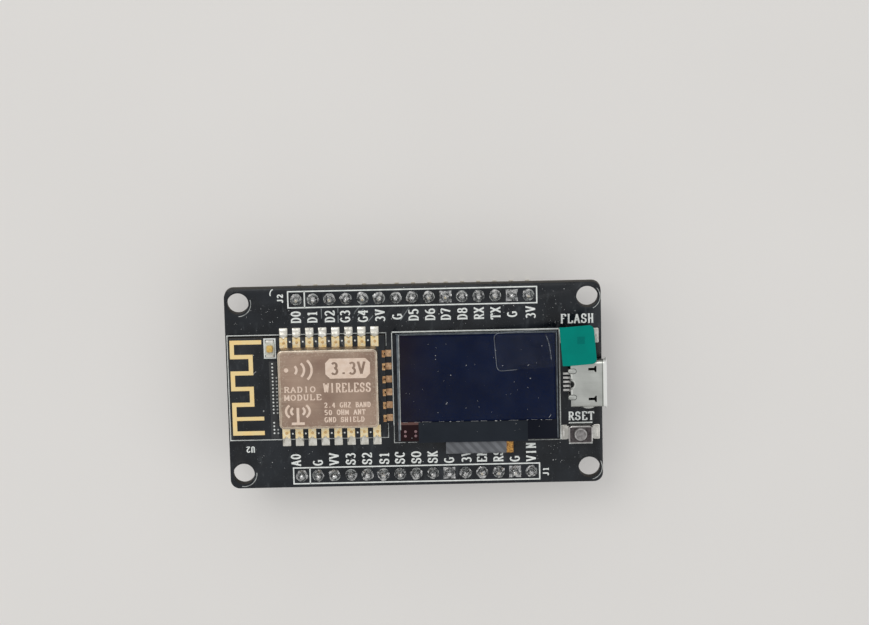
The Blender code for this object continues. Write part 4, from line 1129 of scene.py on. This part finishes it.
def sheet(shape, grid, thickness, second_from=None):
    """A thin sheet over a grid of points; columns from second_from on take the second material."""
    tops = [[shape.verts.new((x, y, z + thickness)) for x, y, z in line] for line in grid]
    floors = [[shape.verts.new(point) for point in line] for line in grid]
    rows, columns = len(grid) - 1, len(grid[0]) - 1

    def face(corners, column):
        made = shape.faces.new(corners)
        made.material_index = int(second_from is not None and column >= second_from)

    for r in range(rows):
        for c in range(columns):
            face((tops[r][c], tops[r][c + 1], tops[r + 1][c + 1], tops[r + 1][c]), c)
            face((floors[r][c], floors[r + 1][c], floors[r + 1][c + 1], floors[r][c + 1]), c)
    for c in range(columns):
        for r in (0, rows):
            face((tops[r][c], tops[r][c + 1], floors[r][c + 1], floors[r][c]), c)
    for r in range(rows):
        for c in (0, columns):
            face((tops[r][c], tops[r + 1][c], floors[r + 1][c], floors[r][c]), min(c, columns - 1))


def make_ledge_marks():
    """Four alignment dots at the left end of the ledge."""
    shape = bmesh.new()
    for x in (GLASS.x0 + 1.14, GLASS.x0 + 2.74):
        for y in (GLASS.y0 + 0.83, GLASS.y0 + 1.53):
            turned(shape, x, y, [(0.21, GLASS.z1), (0.19, GLASS.z1 + 0.012), (0.05, GLASS.z1 + 0.014)], 14)
    look = metal_look("alignment_dot", (150, 122, 126), (120, 90, 94), 0.4, 0.3, patch=0.3, grain=0.08)
    piece("ledge_alignment_dots", shape, look)


TAB_CENTRE = (TAB.cx, TAB.cy)
TAB_ANGLE = math.radians(4.1)
TAB_LENGTH = 15.4
TAB_WIDTH = 6.1
TAB_CORNER = 0.8
TAB_RAMP = (1.6, 3.6)
TAB_RISE = 0.5
TEAL_START = 2.45


def tab_rise(x):
    t = min(max((x - TAB_RAMP[0]) / (TAB_RAMP[1] - TAB_RAMP[0]), 0.0), 1.0)
    return TAB_RISE * t * t * (3 - 2 * t)


def tab_place(x, y):
    """From the tab's own axes to the board's."""
    spun = Matrix.Rotation(TAB_ANGLE, 2) @ Vector((x, y))
    return (TAB_CENTRE[0] + spun.x, TAB_CENTRE[1] + spun.y)


def make_film():
    """Clear screen film, and its pull tab: clear where it is stuck down and teal where it lifts."""
    refined("screen_film", CLEAR, 0.01)
    shape = bmesh.new()
    half_length, half_width = TAB_LENGTH / 2, TAB_WIDTH / 2
    stations = [-half_length + TAB_CORNER * (1 - math.cos(math.radians(90 * k / 6))) for k in range(7)]
    stations += [-6.0, -4.0, -2.0, 0.0, 1.2] + [1.6 + 0.17 * k for k in range(5)] + [TEAL_START]
    stations += [2.6 + 0.2 * k for k in range(6)] + [4.4, 5.4, 6.2]
    stations += [half_length - TAB_CORNER * (1 - math.sin(math.radians(90 * k / 6))) for k in range(7)]

    def half_at(x):
        into = max(0.0, abs(x) - (half_length - TAB_CORNER))
        return half_width - TAB_CORNER + math.sqrt(max(TAB_CORNER ** 2 - into ** 2, 0.0))

    def point(x, share):
        y = half_at(x) * share
        ripple = 0.012 * (1 + noise.noise(Vector((x * 0.6, y * 0.5, 3)))) if x > 2 else 0.0
        return (*tab_place(x, y), TAB.z0 + 0.005 + tab_rise(x) * 0.95 + ripple)

    columns = 12
    grid = [[point(x, 2 * c / columns - 1) for x in stations] for c in range(columns + 1)]
    sheet(shape, grid, 0.07, stations.index(TEAL_START))
    piece("pull_tab_sheet", shape, [CLEAR, TEAL], crease=50, replaces=["film_pull_tab"])
    rim = bmesh.new()
    low, high = TAB.z0 + 0.07, TAB.z0 + 0.085
    left, side = -half_length + 0.08, half_width - 0.08
    turn_x, turn_y = left + TAB_CORNER, side - TAB_CORNER
    outline = [(TAB_RAMP[0], side)] + arc(turn_x, turn_y, TAB_CORNER, TAB_CORNER, 90, 180, 8)
    outline += arc(turn_x, -turn_y, TAB_CORNER, TAB_CORNER, 180, 270, 8) + [(left + 3.0, -side)]
    strip(rim, outline, 0.065, low, high, spot=tab_place)
    for k in range(15):
        x, y = 0.3 + 0.075 * k - 0.003 * k * k, 2.1 - 0.27 * k
        width = 0.05 + 0.07 * abs(math.sin(2.3 * k))
        strip(rim, [(x, y), (x + 0.06, y - 0.19)], width, low, high, spot=tab_place)
    piece("pull_tab_outline", rim, CLEAR_EDGE)


# ---------------------------------------------------------------- socket and buttons

USB_WIDTH = 7.3
USB_TOP = TOP + 2.48
USB_WALL = 0.25
USB_SLOT_Y = 2.35


def cut(shape, cutter):
    """What is left of a closed shape when another is taken away from it."""
    things = []
    for name, part in (("whole", shape), ("cutter", cutter)):
        mesh = bpy.data.meshes.new(name)
        part.to_mesh(mesh)
        part.free()
        thing = bpy.data.objects.new(name, mesh)
        bpy.context.scene.collection.objects.link(thing)
        things.append(thing)
    modifier = things[0].modifiers.new("cut", "BOOLEAN")
    modifier.operation = "DIFFERENCE"
    modifier.object = things[1]
    left = things[0].evaluated_get(bpy.context.evaluated_depsgraph_get())
    result = bmesh.new()
    result.from_mesh(left.to_mesh())
    for thing in things:
        bpy.data.objects.remove(thing)
    return result


def socket_ring(x, grow):
    """The shell's outline across the board at x, offset outwards by grow."""
    half, top, radius = USB_WIDTH / 2 + grow, USB_TOP + grow, 0.5 + grow
    right = [(half - 0.95 - grow * 0.6, TOP + 0.03 - grow), (half - 0.02, TOP + 1.12), (half, TOP + 1.25)]
    right += arc(half - radius, top - radius, radius, radius, 0, 90, 8)
    left = [(-y, z) for y, z in reversed(right)]
    return [(x, USB.cy + y, z) for y, z in right + left]


def make_shell():
    """Rolled sheet with a flared lip, two T-shaped latch slots and a half-round bite in its roof."""
    shape = bmesh.new()
    rear, flare, lip = USB.x0, USB_FLARE_START, USB.x1
    outer = [(rear + 0.03, -0.04), (rear, 0.0), (flare, 0.0), (flare + 0.2, 0.07), (lip - 0.06, 0.28),
             (lip, 0.27)]
    inner = [(lip, 0.08), (lip - 0.1, -0.02), (flare, -USB_WALL), (rear + USB_WALL, -USB_WALL)]
    loft(shape, [socket_ring(x, grow) for x, grow in outer + inner])
    holes = bmesh.new()
    for way in (-1, 1):
        y, start, end = USB.cy + way * USB_SLOT_Y, lip - 2.8, lip - 1.55
        points = [(start, y - 0.2), (end - 0.4, y - 0.2), (end - 0.18, y - 0.5), (end, y - 0.5),
                  (end, y + 0.5), (end - 0.18, y + 0.5), (end - 0.4, y + 0.2), (start, y + 0.2)]
        prism(holes, points, TOP + 2.05, TOP + 3.2)
    prism(holes, circle(rear, USB.cy, 0.55, 28), TOP + 2.05, TOP + 3.2)
    shape = cut(shape, holes)
    piece("usb_shell_sheet", shape, USB_STEEL, crease=32, replaces=["usb_shell"])


def make_socket():
    """The shell, its five contacts on the board behind it, its bent-down ears and its soldered tabs."""
    make_shell()
    contacts = bmesh.new()
    for index in range(CONTACTS):
        y = USB.cy - 0.12 + CONTACT_PITCH * (index - (CONTACTS - 1) / 2)
        profile = [(USB.x0 - 1.1, 0.0), (USB.x0 + 0.2, 0.0), (USB.x0 + 0.2, 0.62), (USB.x0 + 0.02, 0.62),
                   (USB.x0 - 0.12, 0.45), (USB.x0 - 0.25, 0.2), (USB.x0 - 1.1, 0.16)]
        loft(contacts, [[(x, y + side, TOP + 0.03 + z) for x, z in profile] for side in (-0.16, 0.16)])
    bright = metal_look("contact_leg", (244, 244, 242), (208, 208, 206), 0.34, 0.6, patch=0.4, grain=0.08,
                        depth=0.01)
    piece("usb_contacts", contacts, bright, crease=30)
    ears = bmesh.new()
    for way in (-1, 1):
        y = USB.cy + way * 2.06
        # a dark outline round each ear: painted shade at its edge
        prism(ears, rounded(USB.x0 + 0.22, y, 1.36, 0.84, 0.4, 8), USB_TOP - 0.3, USB_TOP + 0.012, 1)
        slab(ears, USB.x0 + 0.22, y, 1.22, 0.68, USB_TOP - 0.3, USB_TOP + 0.05, 0.33, 0.06)
        loft(ears, [[(x, y + side, z) for x, z in
                     ((USB.x0 - 0.38, TOP + 0.05), (USB.x0 - 0.2, TOP + 0.05), (USB.x0 - 0.2, USB_TOP - 0.1),
                      (USB.x0 - 0.38, USB_TOP - 0.1))] for side in (-0.36, 0.36)])
    # painted shade for the dark outline round the ears
    dark = surface("painted_ear_edge_shade", (70, 74, 72), (52, 55, 54), 0.5, grain=0.07, Metallic=0.6)
    low, high = USB_TOP - 0.2, USB_TOP + 0.012
    for way in (1, -1):
        slab(ears, USB.x0 + 0.14, USB.cy + way * 1.13, 0.26, 1.0, low, high, 0.05, 0.008, material=2)
    strip(ears, arc(USB.x0, USB.cy, 0.66, 0.74, -88, 88, 16), 0.13, low, high, material=2)
    for way in (-1, 1):
        side = USB.cy + way * (USB_WIDTH / 2 - 0.05)

        def bulge(t, bulk, reach, height):
            return (USB.x0 + 2.7 + t * 0.95, side + way * reach * bulk, TOP + height)

        profile = ((0.0, 1.3), (0.3, 1.45), (0.4, 1.65), (0.38, 1.95), (0.0, 2.1))
        lump(ears, bulge, profile[::way], 10, 0.01)
    bright = metal_look("rubbed_steel", (236, 238, 234), (214, 217, 212), 0.34, 0.8, grain=0.07)
    piece("usb_rear_ears", ears, [USB_STEEL, dark, bright])
    solder = bmesh.new()
    for way in (-1, 1):
        for x, length in ((USB.x0 + 0.75, 1.4), (USB.x0 + 2.95, 1.9)):
            def joint(t, bulk, reach, height):
                y = USB.cy + way * (USB_WIDTH / 2 - 0.42)
                return (x + t * length / 2, y + way * reach * bulk, TOP + height * bulk)

            profile = ((-0.3, 0.0), (0.85, 0.0), (0.8, 0.08), (0.55, 0.16), (0.3, 0.34), (0.18, 0.62),
                       (-0.3, 0.66))
            lump(solder, joint, profile, 8)
    piece("usb_solder_tabs", solder, SOLDER, crease=60)


def make_cover(kind, cover):
    """Folded lid with clipped corners and a round hole for the plunger."""
    shape = bmesh.new()
    wall = 0.13
    back = cover.y1 - 0.2

    def outline(inset):
        x0, x1, y0, y1 = cover.x0 + inset, cover.x1 - inset, cover.y0 + inset, back - inset
        clip, wide_clip, deep_clip = 0.32, 0.5, 0.3
        return [(x1, y0 + clip), (x1, y1 - deep_clip), (x1 - wide_clip, y1), (x0 + wide_clip, y1),
                (x0, y1 - deep_clip), (x0, y0 + clip), (x0 + clip, y0), (x1 - clip, y0)]

    levels = soft_edge(cover.z0, cover.z1, 0.09) + [(wall + 0.2, cover.z1)]
    loft(shape, [[(x, y, z) for x, y in outline(inset)] for inset, z in levels])
    hole = bmesh.new()
    prism(hole, circle(cover.cx, cover.cy, 1.08, 40), cover.z0 - 0.5, cover.z1 + 0.5)
    shape = cut(shape, hole)
    hollow = bmesh.new()
    prism(hollow, outline(wall), cover.z0 - 0.2, cover.z1 - wall)
    shape = cut(shape, hollow)
    piece(f"{kind}_cover_sheet", shape, cover_look(f"{kind}_cover_steel", cover), crease=30,
          replaces=[f"{kind}_button_cover"])


def make_spring(kind):
    """Contact spring, drawn as flat as a full press leaves it so that the plunger never meets it."""
    dome = Span(f"{kind}_button_dome")
    sheet, radius = 0.05, dome.width / 2 - 0.01
    crown = dome.z1 - 0.27 - sheet
    below = arc(0, dome.z0 + 0.01, radius, crown - dome.z0, 0, 84, 7)
    shape = bmesh.new()
    turned(shape, dome.cx, dome.cy, below[::-1] + [(r + 0.001, z + sheet) for r, z in below], 32)
    piece(f"{kind}_contact_spring", shape, SPRING, replaces=[f"{kind}_button_dome"])


def make_buttons():
    for kind, cover in BUTTONS.items():
        make_cover(kind, cover)
        refined(f"{kind}_button_base", BUTTON_BASE, 0.03)
        stem = Span(f"{kind}_button_plunger")
        shape = bmesh.new()
        foot, top, lid = stem.z0, stem.z1, cover.z1
        turned(shape, stem.cx, stem.cy, [
            (1.15, foot + 0.01), (1.16, foot + 0.1), (1.16, lid - 0.2), (0.99, lid - 0.17),
            (0.985, top - 0.16), (0.95, top - 0.07), (0.86, top - 0.01), (0.78, top - 0.005),
            (0.72, top - 0.04), (0.4, top - 0.035), (0.02, top - 0.03)], 40)
        # painted highlight ring on the plunger's rounded rim
        turned(shape, stem.cx, stem.cy, [(0.95, top - 0.07), (0.93, top - 0.012), (0.86, top - 0.001),
                                         (0.8, top - 0.004), (0.75, top - 0.06)], 40, material=1)
        make_spring(kind)
        piece(f"{kind}_plunger_cap", shape, [PLUNGER, PLUNGER_RIM_HIGHLIGHT], f"{kind}_plunger",
              replaces=[f"{kind}_button_plunger"])
        pads = bmesh.new()
        for way in (-1, 1):
            slab(pads, cover.cx + way * 2.5, cover.cy, 0.95, 2.3, TOP, TOP + PAD_HEIGHT, 0.15, 0.02)

            def joint(t, bulk, reach, height):
                x = cover.cx + way * (2.1 + reach * bulk)
                return (x, cover.cy + t * 1.08, TOP + 0.02 + height * bulk)

            profile = ((0.0, 0.0), (0.8, 0.0), (0.74, 0.14), (0.6, 0.3), (0.35, 0.22), (0.0, 0.08))
            lump(pads, joint, profile, 8)
        piece(f"{kind}_button_solder", pads, FRESH_TIN, crease=60)


# ---------------------------------------------------------------- underside

def small_part(shape, cx, cy, tall, level, turned_round):
    """A two-ended chip part on the underside: body, plated ends and solder; materials 0, 1 and 2."""
    down = level - tall
    length, width = 1.6, 0.8

    def block(x, y, dx, dy, near, far, corner, material):
        if turned_round:
            dx, dy = dy, dx
            x, y = cx + (y - cy), cy + (x - cx)
        outline = rounded(x, y, dx, dy, corner, 3)
        smaller = rounded(x, y, dx - 0.06, dy - 0.06, corner, 3)
        loft(shape, [[(px, py, z) for px, py in ring] for ring, z in ((smaller, far), (outline, far + 0.04),
                                                                     (outline, near))], material)

    block(cx, cy, length * 0.62, width, level, down + 0.03, 0.05, 0)
    for way in (-1, 1):
        block(cx + way * length * 0.4, cy, length * 0.22, width + 0.03, level, down, 0.05, 1)
        block(cx + way * (length * 0.5 + 0.06), cy, 0.5, width + 0.2, level, level - 0.08, 0.08, 2)


def make_underside():
    """Chips with tinned leads, capacitors, resistors, tracks and frames that only the underside shows."""
    for (name, chip), half in zip(UNDERSIDE_CHIPS.items(), (1.95, 1.75, 0.65)):
        look = leaded_chip_look(f"{name}_body", "Y", (chip.cy - half, chip.cy + half))
        refined(name, look, 0.03)
    level = UNDER
    # Centre, and whether the part lies across the board.
    capacitors = ((1.2, 5.6, False), (14.6, 5.2, True), (21.4, 0.6, True), (12.6, -1.4, False),
                  (22.6, -7.6, False), (-2.6, 3.4, True), (-9.5, 6.2, False), (-9.5, 4.2, False))
    resistors = ((1.2, -2.6, False), (4.0, -5.4, True), (6.2, -5.4, True), (8.4, -5.4, True),
                 (10.6, -7.6, True), (-6.5, -2.4, False), (-6.5, -4.6, False), (-15.0, 2.8, True),
                 (-17.2, 2.8, True))
    for name, places, tall, body in (("capacitors", capacitors, 0.75, CERAMIC_TAN),
                                     ("resistors", resistors, 0.45, RESISTOR_BLACK)):
        shape = bmesh.new()
        for x, y, across in places:
            small_part(shape, x, y, tall, level, across)
        piece(f"underside_{name}", shape, [body, PAD_TIN, SOLDER])
    ink = bmesh.new()
    low, high = level - INK_HEIGHT, level
    for x, y, across in capacitors + resistors:
        half_x, half_y = (0.75, 1.3) if across else (1.3, 0.75)
        frame_line(ink, x - half_x, y - half_y, x + half_x, y + half_y, 0.12, low, high)
    for chip in UNDERSIDE_CHIPS.values():
        frame_line(ink, chip.x0 - 0.35, chip.y0 - 0.3, chip.x1 + 0.35, chip.y1 + 0.3, 0.15, low, high)
    for side in PIN_ROWS:
        header = HEADERS[side]
        frame_line(ink, header.x0 - 0.3, header.y0 - 0.3, header.x1 + 0.3, header.y1 + 0.3, 0.15, low, high)
    piece("underside_silkscreen", ink, INK)
    make_underside_tracks(level)


TRACK_WIDTH = 0.25


def make_underside_tracks(level):
    """Tracks fanned out from the socket's chip to the pin rows, and some that run along the board."""
    shape = bmesh.new()
    low, high = level - 0.022, level
    chip = UNDERSIDE_CHIPS["usb_serial_chip"]
    for index in range(7):
        x = chip.x0 + 1.0 + HALF_PITCH * index
        back = PINS[PIN_ROWS["back"][7 + index]]
        bend = 6.4 + 0.45 * index
        points = [(x, chip.y1 + 0.2), (x, bend), (back.cx, bend + abs(back.cx - x) * 0.5), (back.cx, 12.4)]
        strip(shape, points, TRACK_WIDTH, low, high)
        front = PINS[PIN_ROWS["front"][5 + index]]
        bend = -8.6 - 0.4 * index
        points = [(x, chip.y0 - 0.2), (x, bend + 1.2), (front.cx, bend), (front.cx, -12.4)]
        strip(shape, points, TRACK_WIDTH, low, high)
    dice = random.Random(33)
    for index in range(9):
        y = -7.2 + 1.7 * index
        start = RADIO.x0 + 7 + 2 * dice.random()
        end = start + 12 + 2 * dice.random()
        points = [(start, y), (start + 6, y), (start + 8, y + 1.2), (end, y + 1.2)]
        strip(shape, points, TRACK_WIDTH, low, high)
    for _ in range(70):
        x, y = dice.uniform(BOARD.x0 + 3, BOARD.x1 - 4), dice.uniform(-11.5, 11.5)
        turned(shape, x, y, [(0.32, high), (0.31, low), (0.22, low - 0.006), (0.1, low + 0.012),
                             (0.02, low + 0.014)], 14)
    piece("board_tracks_underside", shape, BOARD_MASK)


# ---------------------------------------------------------------- remaining CAD nodes

def dress(node, look):
    """Gives a CAD node that stays as it is its finished material."""
    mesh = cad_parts[node].data
    mesh.materials.clear()
    mesh.materials.append(look.material)


def dress_remaining():
    dress("oled_mounting_tape", FOAM)
    dress("oled_driver_chip", DIE)
    dress("usb_tongue", USB_PLASTIC)
    dress("radio_soc_chip", BLACK_PLASTIC)
    dress("radio_crystal", CAN_CHIP)
    chip = Span("radio_flash_chip")
    dress("radio_flash_chip", leaded_chip_look("flash_memory_body", "X", (chip.cx - 2.45, chip.cx + 2.45)))


# ---------------------------------------------------------------- room, light and camera

def make_room():
    floor = bpy.data.meshes.new("floor")
    shape = bmesh.new()
    half, steps = 1.6, 24
    grid = [[shape.verts.new(((c / steps * 2 - 1) * half, (r / steps * 2 - 1) * half, 0.0))
             for c in range(steps + 1)] for r in range(steps + 1)]
    for r in range(steps):
        for c in range(steps):
            shape.faces.new((grid[r][c], grid[r][c + 1], grid[r + 1][c + 1], grid[r + 1][c]))
    shape.to_mesh(floor)
    shape.free()
    look = surface("pale_paper", (199.1, 197.5, 195.1), (196.7, 195.1, 192.7), 0.85, patch=60, grain=0.6,
                   depth=0.01, Specular_IOR_Level=0.1, Emission_Color=(251.5, 250.3, 249.1),
                   Emission_Strength=0.19)
    geometry = look.tree.nodes.new("ShaderNodeNewGeometry")
    clear = look.tree.nodes.new("ShaderNodeBsdfTransparent")
    shown = look.add("MixShader", {0: geometry.outputs["Backfacing"], 1: look.shader.outputs[0],
                                   2: clear.outputs[0]})
    look.feed(look.tree.nodes["Material Output"].inputs["Surface"], shown)
    floor.materials.append(look.material)
    made = bpy.data.objects.new("floor", floor)
    bpy.context.scene.collection.objects.link(made)


def make_light():
    world = bpy.data.worlds.new("studio")
    bpy.context.scene.world = world
    world.use_nodes = True
    tree = world.node_tree
    sky = tree.nodes["Background"]
    where = tree.nodes.new("ShaderNodeTexCoord")
    parts = tree.nodes.new("ShaderNodeSeparateXYZ")
    ramp = tree.nodes.new("ShaderNodeValToRGB")
    tree.links.new(where.outputs["Generated"], parts.inputs[0])
    tree.links.new(parts.outputs[2], ramp.inputs[0])
    tree.links.new(ramp.outputs[0], sky.inputs[0])
    ramp.color_ramp.elements[0].color = (0.9, 0.88, 0.86, 1)
    ramp.color_ramp.elements[1].color = (0.66, 0.655, 0.65, 1)
    sky.inputs[1].default_value = 0.8
    for name, place, size, power, colour in (("key", (-0.35, 0.55, 0.95), 0.7, 4.2, (1.0, 0.985, 0.96)),
                                             ("fill", (0.7, -0.3, 0.8), 0.8, 1.2, (0.96, 0.98, 1.0))):
        data = bpy.data.lights.new(name, "AREA")
        data.shape = "DISK"
        data.size = size
        data.energy = power
        data.color = colour
        lamp = bpy.data.objects.new(name, data)
        lamp.location = place
        lamp.rotation_euler = (-Vector(place)).to_track_quat("-Z", "Y").to_euler()
        bpy.context.scene.collection.objects.link(lamp)


def make_camera():
    data = bpy.data.cameras.new("camera")
    data.lens = CAMERA_LENS
    data.sensor_width = 36.0
    data.clip_start = 0.01
    data.clip_end = 20.0
    made = bpy.data.objects.new("camera", data)
    ahead = Vector(CAMERA_AHEAD).normalized()
    up = Vector(CAMERA_UP)
    right = ahead.cross(up).normalized()
    up = right.cross(ahead)
    place = (Vector(CAMERA_PLACE) + Vector((0, 0, TOP))) * MM
    made.matrix_world = Matrix((right, up, -ahead)).transposed().to_4x4()
    made.location = place
    bpy.context.scene.collection.objects.link(made)
    bpy.context.scene.camera = made


make_camera()
make_light()
make_room()
bpy.context.scene.view_settings.view_transform = "Standard"
refined("main_board", BOARD_MASK, 0.04)
make_headers_and_pins()
make_silkscreen()
make_labels()
make_solder_joints()
make_board_surface()
make_hole_highlights()
make_module()
make_display()
refined("oled_flex_cable", FLEX_LOOK, 0.02)
make_socket()
make_buttons()
make_underside()
make_dust()
dress_remaining()
